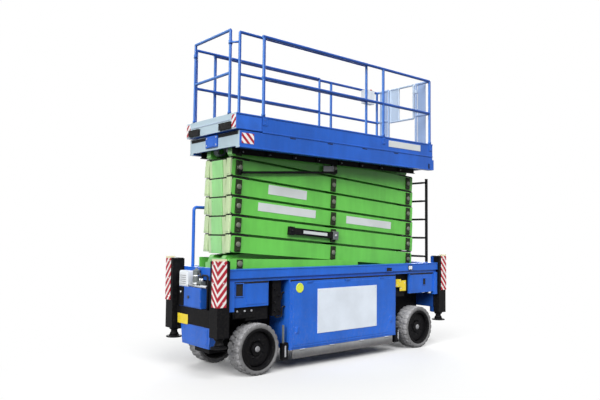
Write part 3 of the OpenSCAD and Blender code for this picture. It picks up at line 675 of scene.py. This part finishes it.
def arm_ends(k, kind, place, left, right):
    """Square plates on the ends of a pair of arms; the outer pair's are split, the inner pair's run across.
    Rubber stops keep the folded arms apart."""
    caps = Piece("arm_ends_%s_%d" % (kind, k), "%s_%d" % (kind, k), "green_paint")
    outer = kind == "outer"
    # Front ends take the paler arm_end paints, a painted highlight; rear ends are plain green.
    for shown, s, out, edge_key, middle_key in ((left, 0.0, -1, "arm_end", "arm_end_green"),
                                                (right, ARM_L, 1, "green", "green")):
        def plate(side, y, reach, half, key, bevel=0.004):
            caps.slab(side, (s + out * 0.094, s + out * reach), y, (-half, half), key, bevel, place)

        if shown or (outer and k == 1):
            for side in SIDES:
                caps.slab(side, (s - out * 0.160, s + out * (0.112 if shown else 0.090)),
                          (0.200, 0.276) if outer else (0.126, 0.180), (0.1045, 0.1200), "rubber", 0.002, place)
        if not shown:
            continue
        for side in SIDES:
            if outer:
                plate(side, (0.194, 0.281), 0.120, 0.107, edge_key)
                plate(side, (0.205, 0.270), 0.1235, 0.088, edge_key, 0.002)
            else:
                plate(side, (0.122, 0.184), 0.114, 0.106, edge_key)
                for dz in (-0.070, 0.070):
                    caps.bolt((s + out * 0.1205, side * 0.092, dz), (out, 0, 0), 0.008, middle_key, place)
        if not outer:
            plate(1, (-0.116, 0.116), 0.1205, 0.107, middle_key)
            caps.slab(1, (s + out * 0.096, s + out * 0.116), (-0.112, 0.112), (0.1065, 0.1200), "rubber", 0.002,
                      place)
    caps.done()


for k in ARMS:
    arm_ends(k, "outer", outer_place(k), k < 6, k > 1)
    arm_ends(k, "inner", inner_place(k), k > 1, k < 6)

link = Piece("upper_bar", "inner_6", "black_paint")
place = inner_place(6)
link_y = (0.314, 0.330)
for side in SIDES:
    link.slab(side, (0.000, 1.530), link_y, (-0.076, -0.046), "black", 0.004, place)
    link.slab(side, (-0.030, 0.030), link_y, (-0.078, 0.030), "black", 0.006, place)
    link.slab(side, (1.350, 1.560), link_y, (-0.050, 0.028), "grey", 0.006, place)
    for s in (0.0, ARM_L / 2):
        link.rod((s, side * 0.311, 0.0), (s, side * 0.336, 0.0), 0.030, "pin", 28, place)
    link.slab(side, (ARM_L / 2 - 0.040, ARM_L / 2 + 0.034), link_y, (-0.078, 0.036), "black", 0.006, place)
link.done()

# Black channels under the platform's sides: painted shade for the dark band beneath the deck.
channels = Piece("deck_shade_channels", "platform", "black_paint")
for side in SIDES:
    for y, z in (((0.344, 0.350), (2.588, 2.8003)), ((0.349, 0.374), (2.588, 2.596)),
                 ((0.349, 0.384), (2.791, 2.8003))):
        channels.slab(side, (-1.740, 1.600), y, z, "black", 0.002)
    for i in range(8):
        x = -1.640 + 0.410 * i
        channels.slab(side, about(x, 0.004), (0.349, 0.372), (2.595, 2.792), "black", 0.001)
        channels.bolt((x + 0.060, side * 0.350, 2.622), (0, side, 0), 0.013, "grey")
channels.done()

# Each label: its arm, start and end along it, height on it and width
LABELS = [(4, 0.455, 1.090, 0.026, 0.120), (3, 0.300, 1.250, 0.024, 0.105), (3, 1.825, 2.755, 0.012, 0.105)]
for i, (k, s0, s1, v, h) in enumerate(LABELS, 1):
    strip = Piece("label_%d" % i, "outer_%d" % k, "white_paint")
    strip.slab(-1, (s0, s1), (OUTER_Y - 0.0005, OUTER_Y + 0.0025), about(v, h / 2), "label", 0.0012,
               outer_place(k))
    strip.done()

bar = Piece("safety_bar", "outer_2", "black_paint")
place = outer_place(2)
bar_y = OUTER_Y + 0.020
for x, y, half, key, bevel in (((0.800, 1.560), (0.002, 0.030), 0.044, "black", 0.006),
                               ((0.770, 0.850), (-0.019, 0.034), 0.054, "black", 0.006),
                               ((1.530, 1.626), (0.001, 0.036), 0.056, "tank", 0.006),
                               ((1.000, 1.420), (0.0295, 0.0325), 0.020, "label", 0.001)):
    bar.slab(-1, x, (bar_y + y[0], bar_y + y[1]), (-half, half), key, bevel, place)
bar.bolt((1.578, -bar_y - 0.036, 0.0), (0, -1, 0), 0.022, "grey", place)
bar.bolt((0.810, -bar_y - 0.034, 0.0), (0, -1, 0), 0.014, "black", place)
bar.done()


# Chassis sides

def door(where, side):
    """Raised door skin with a pressed border, hinges and latches."""
    piece = Piece("door_" + where, "chassis", "blue_paint")

    def plate(x, z, inner, outer, bevel=0.004):
        piece.slab(side, x, (SIDE_Y + inner, SIDE_Y + outer), z, "blue", bevel)

    plate((-0.985, 0.905), (0.262, 1.068), -0.0005, 0.006)
    plate((-0.955, 0.875), (0.292, 1.040), 0.0055, 0.009, 0.003)
    for x in (-0.700, -0.040, 0.640):
        plate(about(x, 0.045), (1.040, 1.066), 0.005, 0.016)
        y = side * (SIDE_Y + 0.012)
        piece.rod((x - 0.050, y, 1.060), (x + 0.050, y, 1.060), 0.007, "blue", 12)
    for x in (-0.900, 0.820):
        plate(about(x, 0.028), (0.430, 0.520), 0.008, 0.014)
        plate(about(x, 0.014), (0.445, 0.505), 0.012, 0.021, 0.003)
    piece.done()


door("near", -1)
door("far", 1)

sign = Piece("blank_sign", "chassis", "white_paint")
sign_y = SIDE_Y + 0.0135
sign.slab(-1, (-0.565, 0.525), (SIDE_Y + 0.0085, sign_y), (0.403, 0.960), "sign", 0.002)
for x in (-0.540, 0.500):
    for z in (0.428, 0.935):
        sign.turned([(0, 0), (0.009, 0), (0.007, 0.003), (0, 0.004)], (x, -sign_y, z), (0, -1, 0), "zinc", 16)
sign.done()

disc = Piece("round_plate", "chassis", "blue_paint")
disc.turned([(0, 0), (0.060, 0), (0.060, 0.005), (0.057, 0.008), (0.050, 0.006), (0.022, 0.007), (0, 0.008)],
            (-0.862, -SIDE_Y - 0.0085, 0.985), (0, -1, 0), "lime", 48)
disc.done()


def side_fittings(where, side):
    """Openings, bolts, caps and marker plates along one side of the chassis."""
    piece = Piece("side_fittings_" + where, "chassis", "black_paint")
    out = (0, side, 0)

    def plate(x, z, face, thick, key, bevel=0.004):
        piece.slab(side, x, (face - 0.001, face + thick), z, key, bevel)

    def frame_round(x, z, face, width, thick, key="blue"):
        (x0, x1), (z0, z1) = x, z
        wide = (x0 - width, x1 + width)
        for bar_x, bar_z in ((wide, (z1, z1 + width)), (wide, (z0 - width, z0)), ((x0 - width, x0), z),
                             ((x1, x1 + width), z)):
            plate(bar_x, bar_z, face, thick, key, 0.003)

    # Openings in the covers over the wheels: flat black sheets, painted shade, in blue frames; and raised sheets
    for x, z, width in (((-1.790, -1.690), (0.930, 1.068), 0.010), ((1.570, 1.632), (0.915, 1.005), 0.008)):
        plate(x, z, COVER_Y, 0.001, "rubber", 0.0)
        frame_round(x, z, COVER_Y, width, width)
    plate((-1.640, -1.340), (0.825, 1.065), COVER_Y, 0.005, "blue")
    plate((1.300, 1.540), (0.830, 1.065), COVER_Y, 0.005, "blue")
    # Steering guard with its bolts
    piece.slab(side, (-1.805, -1.500), (HEAD_Y - 0.030, HEAD_Y + 0.012), (0.668, 0.796), "black", 0.010)
    for x in (-1.745, -1.640, -1.545):
        piece.bolt((x, side * (HEAD_Y + 0.012), 0.752), out, 0.014, "grey")
    piece.slab(side, (-1.780, -1.690), (HEAD_Y + 0.010, HEAD_Y + 0.024), (0.680, 0.726), "black", 0.006)
    piece.slab(side, (-1.620, -1.540), (HEAD_Y + 0.010, HEAD_Y + 0.022), (0.676, 0.722), "black", 0.006)
    # Valve block behind the front wheel: plugs and rigid pipes
    for x, z in ((-1.190, 0.720), (-1.120, 0.720), (-1.190, 0.820), (-1.120, 0.900), (-1.190, 0.980)):
        piece.rod((x, side * 0.489, z), (x, side * 0.504, z), 0.017, "black", 16)
        piece.bolt((x, side * 0.504, z), out, 0.012, "black")
    for y, bends in ((0.470, ((-1.155, 0.662), (-1.155, 0.640), (-1.060, 0.640), (-1.060, 0.760), (-1.009, 0.760))),
                     (0.450, ((-1.091, 0.850), (-1.050, 0.850), (-1.050, 0.930), (-1.009, 0.930)))):
        piece.tube([(x, side * y, z) for x, z in bends], 0.010, "rubber")
    # Yellow caps in front of the pump block
    for x0, x1, z0, z1, off in ((1.000, 1.112, 0.900, 1.012, 0.034), (1.098, 1.238, 0.838, 0.990, 0.022)):
        piece.slab(side, (x0, x1), (0.470 + off, 0.476 + off), (z0, z1), "yellow")
        for fx, fz in ((0.2, 0.25), (0.8, 0.75)):
            x, z = x0 + fx * (x1 - x0), z0 + fz * (z1 - z0)
            piece.rod((x, side * 0.469, z), (x, side * (0.472 + off), z), 0.009, "zinc", 12)
            piece.bolt((x, side * (0.476 + off), z), out, 0.009)
    # Marker lamp, and a pocket on the top beam: a flat black sheet, painted shade, in a blue frame
    plate((1.215, 1.285), (1.150, 1.200), SIDE_Y, 0.014, "lamp", 0.008)
    frame_round((1.213, 1.287), (1.148, 1.202), SIDE_Y, 0.006, 0.008, "rubber")
    plate((0.735, 0.850), (1.134, 1.186), SIDE_Y, 0.0015, "rubber", 0.0)
    frame_round((0.735, 0.850), (1.136, 1.186), SIDE_Y, 0.008, 0.008)
    # Black strips under the top beam, painted shade for the shadow gap there, and the rub strip along the beam
    for x, face in (((-1.005, 0.925), SIDE_Y), ((-1.815, -1.325), COVER_Y), ((1.275, 1.815), COVER_Y)):
        plate(x, (1.069, 1.0895), face, 0.004, "rubber", 0.002)
    plate((-1.880, 1.880), (1.221, 1.236), SIDE_Y, 0.005, "blue", 0.003)
    # Pothole brackets: strap, light strip and bolts, with a tall strip above the front one
    for x, strip_x in ((-1.100, -1.075), (0.930, 0.985)):
        piece.slab(side, (x + 0.010, x + 0.080), (0.544, 0.556), (0.150, 0.310), "black", 0.005)
        piece.slab(side, (strip_x, strip_x + 0.020), (0.555, 0.560), (0.165, 0.300), "grey", 0.002)
        for z in (0.285, 0.175):
            piece.bolt((x + 0.058, side * 0.556, z), out, 0.013, "black")
    piece.slab(side, (-1.085, -1.062), (0.510, 0.530), (0.329, 0.545), "tank", 0.003)
    # Skirt lip and hinge pins
    piece.slab(side, (-0.948, 0.868), (0.558, 0.566), (0.131, 0.146), "skirt", 0.003)
    for x in (-0.800, -0.300, 0.250, 0.740):
        piece.rod((x - 0.040, side * 0.562, 0.232), (x + 0.040, side * 0.562, 0.232), 0.008, "grey", 12)
    piece.done()


side_fittings("near", -1)
side_fittings("far", 1)


# Corner jacks

COLUMN_TOP = 1.338
for name, sx, sy in CORNERS:
    x, y = sx * COLUMN_X, sy * COLUMN_Y
    corner = Piece("jack_fittings_" + name, "chassis", "black_paint")
    corner.box((x - 0.072, y - 0.072, 1.3295), (x + 0.072, y + 0.072, COLUMN_TOP), "black")
    corner.bolt((x, y, COLUMN_TOP), UP, 0.022)
    for z in (0.870, 1.090, 1.300):
        corner.bolt((sx * (GUARD_X - 0.080), sy * GUARD_Y, z), (0, sy, 0), 0.010)
        corner.bolt((sx * GUARD_X, sy * (GUARD_Y - 0.080), z), (sx, 0, 0), 0.010)
    corner.turned(collar(0.0405, 0.058, 0.050, 0.020, 0.026), (x, y, 0.480), DOWN, "black")
    corner.done()
    foot = Piece("foot_pad_" + name, "leg_" + name, "black_paint")
    foot.turned([(0.0625, 0), (0.094, 0), (0.098, 0.004), (0.098, 0.012), (0.090, 0.017), (0.0625, 0.019)],
                (x, y, 0.361), UP, "black", 40)
    foot.turned([(0.0405, 0), (0.056, 0), (0.050, 0.024), (0.0405, 0.034)], (x, y, 0.390), UP, "black")
    foot.done()


# Front end: blank plate, pipes, valves and the charger's cover

front = Piece("front_fittings", "chassis", "black_paint")
front.box((-1.997, 0.165, 0.550), (FRONT_X, 0.405, 0.668), "yellow", 0.003)
front.box((-2.000, 0.272, 0.764), (FRONT_X, 0.388, 0.996), "black", 0.006)
front.rod((-2.000, 0.330, 0.930), (-2.006, 0.330, 0.930), 0.012, "lamp")
front.box((-1.997, -0.112, 0.770), (FRONT_X, 0.262, 0.990), "blue", 0.006)
front.rod((-1.998, 0.150, 0.880), (-2.010, 0.150, 0.880), 0.018, "dark_plastic")
front.box((-1.996, 0.200, 1.012), (FRONT_X, 0.380, 1.168), "white", 0.005)
for i in range(5):
    z = 1.030 + 0.024 * i
    front.box((-1.999, 0.225, z), (-1.9955, 0.355, z + 0.010), "grey", 0.001)
front.box((-1.985, 0.196, 1.1795), (-1.915, 0.384, 1.190), "white")
tank_x, tank_y = -1.948, 0.060
front.turned([(0, 0), (0.0425, 0), (0.046, 0.006), (0.046, 0.014), (0.030, 0.018), (0.018, 0.020), (0.018, 0.036),
              (0, 0.036)], (tank_x, tank_y, 1.189), UP, "tank")
for z in (1.040, 1.130):
    front.turned([(0.0422, 0), (0.0450, 0), (0.0450, 0.016), (0.0422, 0.016)], (tank_x, tank_y, z), UP, "zinc")
front.box((-1.985, -0.100, 0.9995), (-1.915, -0.010, 1.075), "tank", 0.006)
for y in (-0.078, -0.032):
    front.rod((-1.950, y, 1.074), (-1.950, y, 1.110), 0.014, "zinc", 16)
    front.rod((-1.986, y, 1.040), (-1.996, y, 1.040), 0.011, "dark_plastic", 16)
for x, bends, radius, key in (
        (-1.950, ((-0.078, 1.108), (-0.078, 1.150), (-0.200, 1.150), (-0.200, 0.800), (-0.200, SHELF_Z)),
         0.011, "rubber"),
        (-1.950, ((-0.032, 1.108), (-0.032, 1.170), (0.020, 1.170)), 0.010, "dark_plastic"),
        (-1.975, ((-0.230, 1.020), (0.185, 1.020)), 0.016, "skirt"),
        (-1.975, ((-0.229, 1.020), (-0.250, 1.020), (-0.250, SHELF_Z)), 0.016, "black")):
    front.tube([(x, y, z) for y, z in bends], radius, key)
for y in (-0.300, -0.330, -0.360):
    z = 0.900 - 0.3 * (y + 0.3)
    front.tube([(-1.960, y, SHELF_Z), (-1.960, y, z), (-1.912, y, z)], 0.010, "rubber")
front.done()

nose = Piece("nose_fittings", "chassis", "blue_paint")
nose_x = -1.9905
nose.box((nose_x, -0.270, 0.345), (-1.9845, 0.270, 0.535), "blue", 0.005)
for y in (-0.240, 0.240):
    for z in (0.370, 0.510):
        nose.bolt((nose_x, y, z), FORWARD, 0.009, "blue")
nose.done()


# Ladder and handrail

climb = Piece("ladder_fittings", "chassis", "black_paint")
for i in range(6):
    climb.turned([(0.0141, 0), (0.0158, 0), (0.0158, 0.440), (0.0141, 0.440)], (1.970, -0.220, 2.480 - 0.290 * i),
                 (0, 1, 0), "rubber", 20)
for side in SIDES:
    climb.slab(side, (1.944, 1.996), about(0.2975, 0.022), (0.7595, 0.772), "black", 0.003)
    climb.slab(side, (1.948, 1.992), about(0.2975, 0.0145), (2.5295, 2.537), "rubber", 0.003)
    climb.slab(side, (1.899, 1.951), (0.284, 0.311), (1.150, 1.200), "black")
climb.done()

hold = Piece("handrail_fittings", "chassis", "blue_paint")
hoop_y = 0.375
for x in (-1.815, -1.215):
    hold.turned([(0.0201, 0), (0.044, 0), (0.044, 0.008), (0.030, 0.010), (0.024, 0.022), (0.0201, 0.022)],
                (x, hoop_y, BED_Z), UP, "blue")
    for a in (0.6, 2.2, 3.8, 5.4):
        hold.bolt((x + 0.034 * math.cos(a), hoop_y + 0.034 * math.sin(a), 1.138), UP, 0.006)
hold.done()


# Platform

TRIM_Y = (PLAT_Y - 0.001, PLAT_Y + 0.007)
plat = Piece("platform_trim", "platform", "blue_paint")
for side in SIDES:
    for x0, z in ((-1.453, (3.022, 3.040)), (-1.453, (2.840, 2.856)), (-1.780, (2.640, 2.658))):
        plat.slab(side, (x0, 1.790), TRIM_Y, z, "blue_platform")
    for x in (-1.433, 0.685, GATE_X):
        plat.turned(collar(0.0201, 0.0255, 0.0215, 0.030, 0.036), (x, side * POST_Y, TOE_Z), UP, "blue_rail", 28)
        at = max(x, -1.418)
        plat.slab(side, about(at, 0.034), TRIM_Y, (2.930, 3.020), "blue_platform", 0.003)
        for z in (2.950, 3.000):
            plat.bolt((at, side * TRIM_Y[1], z), (0, side, 0), 0.008, "blue_platform")
    # Slots in the platform's sides, as flat black sheets: painted shade.
    for x in (-0.980, -0.350, 0.300, 0.950):
        plat.slab(side, about(x, 0.045), (PLAT_Y - 0.001, PLAT_Y + 0.0015), (2.818, 2.830), "rubber", 0.0)
    plat.slab(side, (1.7895, 1.824), (0.480, 0.555), (2.645, 2.800), "blue_platform", 0.006)
plat.slab(-1, (1.690, 1.712), (PLAT_Y - 0.0005, PLAT_Y + 0.0085), (2.655, 2.735), "rubber", 0.003)
plat.done()

strip = Piece("blank_side_sign", "platform", "white_paint")
strip.slab(-1, (0.790, 1.500), (PLAT_Y - 0.0005, PLAT_Y + 0.003), (2.905, 2.996), "label", 0.0015)
strip.done()

chevron = Piece("stripe_plates", "platform", "stripe_paint")
for side in SIDES:
    face = PLAT_Y + 0.004
    chevron.slab(side, (-1.750, -1.575), (PLAT_Y - 0.0005, face), (2.690, 2.812), "plate_stripes", 0.0015)
    for x in (-1.738, -1.587):
        chevron.turned([(0, 0), (0.005, 0), (0.004, 0.002), (0, 0.003)], (x, side * face, 2.751), (0, side, 0),
                       "zinc", 12)
chevron.done()

end_plate = Piece("platform_end_fittings", "platform", "black_paint")
end_plate.box((-1.7835, -0.525, 2.796), (PLAT_X, 0.080, 2.836), "rubber", 0.001)
end_plate.box((-1.7835, 0.185, 2.790), (PLAT_X, 0.520, 2.830), "rubber", 0.001)
end_plate.box((-1.800, -0.105, 2.690), (PLAT_X, 0.155, 2.835), "blue", 0.006)
end_plate.box((-1.804, -0.030, 2.700), (-1.798, 0.075, 2.790), "blue", 0.006)
for y in (-0.080, 0.130):
    for z in (2.720, 2.810):
        end_plate.bolt((-1.800, y, z), FORWARD, 0.010)
end_plate.done()

ext = Piece("extension_trim", "extension", "blue_paint")
brace_z = 3.895
for side in SIDES:
    for z in ((3.022, 3.040), (2.8515, 2.867)):
        ext.slab(side, (-1.833, -1.464), TRIM_Y, z, "blue_platform")
    for x in (-1.750, 0.393):
        ext.turned(collar(0.0181, 0.0235, 0.0195, 0.026, 0.032), (x, side * EXT_POST_Y, 2.8906), UP, "blue_rail", 24)
    ext.turned(collar(0.0181, 0.0225, 0.0190, 0.026, 0.032), (END_X, side * END_Y, TOE_Z), UP, "blue_rail", 24)
    ext.slab(side, (-1.8375, EXT_X), (0.470, 0.5535), (2.868, 3.020), "plate_stripes", 0.0015)
    for y in sorted((side * 0.260, side * 0.440)):
        ext.bolt((-1.863, y, 2.900), FORWARD, 0.009, "black")
    ext.rod((-1.815, side * 0.405, brace_z), (-1.752, side * 0.484, brace_z), 0.013, "blue_rail", 16)
    ext.turned([(0.0181, -0.024), (0.0245, -0.024), (0.0245, 0.024), (0.0181, 0.024)],
               (END_X, side * END_Y, brace_z), UP, "blue_rail", 24)
ext.box((-1.8385, -0.440, 2.962), (EXT_X, 0.440, 2.974), "gate", 0.002)
ext.done()

control = Piece("control_fittings", "platform", "control_plastic")
cx0, cx1, cy0, cy1, cz = 1.350, 1.560, 0.4325, 0.5345, 3.998
key_z = cz + 0.004
control.box((cx0 + 0.010, cy0 - 0.004, 3.800), (cx1 - 0.010, cy0 + 0.0005, 3.970), "plastic", 0.003)
control.box((cx0 + 0.008, cy0 + 0.008, cz - 0.0005), (cx1 - 0.008, cy1 - 0.014, cz + 0.005), "dark_plastic", 0.003)
control.turned([(0, 0), (0.020, 0), (0.018, 0.006), (0.009, 0.012), (0.008, 0.034), (0.013, 0.040), (0.012, 0.050),
                (0, 0.052)], (cx0 + 0.060, cy0 + 0.045, key_z), UP, "rubber", 24)
control.turned([(0, 0), (0.014, 0), (0.014, 0.010), (0.022, 0.012), (0.022, 0.020), (0.016, 0.025), (0, 0.026)],
               (cx1 - 0.045, cy0 + 0.045, key_z), UP, "red_plastic", 28)
for i in range(3):
    x = cx0 + 0.100 + 0.024 * i
    control.rod((x, cy0 + 0.040, key_z), (x + 0.004, cy0 + 0.032, cz + 0.022), 0.004, "zinc", 10)
control.box((cx0 - 0.006, cy0 + 0.012, 3.790), (cx0 + 0.0005, cy1 - 0.012, 3.985), "plastic")
control.done()

latch = Piece("gate_fittings", "gate", "white_paint")
latch_z = 3.795
latch.box((GATE_X - 0.012, 0.196, 3.760), (GATE_X + 0.012, 0.236, 3.830), "gate")
latch.rod((GATE_X, 0.200, latch_z), (GATE_X, 0.252, latch_z), 0.007, "zinc", 12)
latch.rod((GATE_X + 0.012, 0.215, latch_z), (GATE_X + 0.034, 0.215, latch_z), 0.008, "dark_plastic", 12)
latch.done()

bay = Piece("cylinder_fittings", "chassis", "black_paint")
for side in SIDES:
    bay.slab(side, (1.652, 1.668), (0.100, 0.180), (BED_Z, 1.290), "black")
for x in (-1.200, -0.700):
    bay.box((x - 0.060, -0.440, BED_Z), (x + 0.060, -0.380, 1.170), "grey", 0.006)
bay.done()


# Floor, light and camera

def seen_directly(n):
    """1 for rays that show the background: from the camera, in gloss and through glass."""
    path = n.add("LightPath").outputs
    return n.math("MAXIMUM", path["Is Camera Ray"],
                  n.math("MAXIMUM", path["Is Glossy Ray"], path["Is Transmission Ray"]))


WHITE = (1.0, 1.0, 1.0, 1.0)
FLOOR = 60.0
floor_mesh = bpy.data.meshes.new("floor")
floor_mesh.from_pydata([(-FLOOR, -FLOOR, 0), (FLOOR, -FLOOR, 0), (FLOOR, FLOOR, 0), (-FLOOR, FLOOR, 0)], [],
                       [(0, 1, 2, 3)])
floor = bpy.data.objects.new("floor", floor_mesh)
bpy.context.scene.collection.objects.link(floor)
ground = new_material("floor")
direct = seen_directly(ground)
x, y, _ = ground.xyz()
away = ground.math("SQRT", ground.plus(ground.math("POWER", ground.times(x, 0.75), 2.0),
                                       ground.math("POWER", y, 2.0)))
ground.put(ground.mix(direct, rgba([0.12] * 3), rgba([0.72] * 3)), ground.shader.inputs["Base Color"])
ground.put(0.9, ground.shader.inputs["Roughness"])
ground.put(0.1, ground.shader.inputs["Specular IOR Level"])
glow = ground.add("Emission", {"Color": WHITE, "Strength": 1.0})
blend = ground.add("MixShader", {0: ground.times(direct, ground.ramp(away, 0.8, 3.2)),
                                 1: ground.shader.outputs[0], 2: glow.outputs[0]})
ground.put(blend.outputs[0], ground.tree.nodes["Material Output"].inputs["Surface"])
floor_mesh.materials.append(ground.owner)
floor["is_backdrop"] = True

sky = Nodes(bpy.data.worlds.new("studio"))
bpy.context.scene.world = sky.owner
height = sky.add("MapRange", {"Value": sky.xyz("Generated")[2], "From Min": 0.12, "From Max": 0.75,
                              "To Min": 0.03, "To Max": 0.24})
studio = sky.tree.nodes["Background"]
sky.put((0.96, 0.98, 1.0, 1.0), studio.inputs["Color"])
sky.put(height.outputs["Result"], studio.inputs["Strength"])
white = sky.add("Background", {"Color": WHITE, "Strength": 1.0})
mixer = sky.add("MixShader", {0: seen_directly(sky), 1: studio.outputs[0], 2: white.outputs[0]})
sky.put(mixer.outputs[0], sky.tree.nodes["World Output"].inputs["Surface"])


def soft_light(name, place, target, power, spread):
    """A broad lamp, as even at the raised platform as at the chassis."""
    data = bpy.data.lights.new(name, "SUN")
    data.energy = power
    data.angle = math.radians(spread)
    lamp = bpy.data.objects.new(name, data)
    lamp.location = place
    lamp.rotation_euler = (Vector(target) - Vector(place)).to_track_quat("-Z", "Y").to_euler()
    bpy.context.scene.collection.objects.link(lamp)


soft_light("key", (-8.8, -3.2, 6.4), (-0.5, 0.0, 1.8), 3.2, 36)
soft_light("fill", (-1.0, -7.0, 8.8), (0.2, 0.0, 1.8), 2.6, 40)
soft_light("back", (6.5, 7.0, 5.4), (0.5, 0.0, 2.2), 2.2, 45)

# The camera fitted to the photo: focal length in its pixels, place and angles
IMAGE_W, FOCAL_PX, SENSOR = 600.0, 609.0, 36.0
CAMERA_AT = (-5.743, -6.325, 1.637)
yaw, pitch, roll = math.radians(40.257), math.radians(3.273), math.radians(0.58)
camera_data = bpy.data.cameras.new("camera")
camera_data.sensor_width = SENSOR
camera_data.lens = FOCAL_PX * SENSOR / IMAGE_W
camera_data.clip_end = 200.0
camera = bpy.data.objects.new("camera", camera_data)
bpy.context.scene.collection.objects.link(camera)
forward = Vector((math.sin(yaw) * math.cos(pitch), math.cos(yaw) * math.cos(pitch), math.sin(pitch)))
right = Vector((math.cos(yaw), -math.sin(yaw), 0.0))
up = right.cross(forward)
across = math.cos(roll) * right + math.sin(roll) * up
upward = -math.sin(roll) * right + math.cos(roll) * up
turn = Matrix((across, upward, -forward)).transposed().to_4x4()
camera.matrix_world = Matrix.Translation(CAMERA_AT) @ turn
bpy.context.scene.camera = camera
bpy.context.scene.view_settings.view_transform = "Standard"


def corners(bounds):
    return [[float(v) for v in corner] for corner in bounds]


{"cad": corners(cad_box), "visual": corners(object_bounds())}
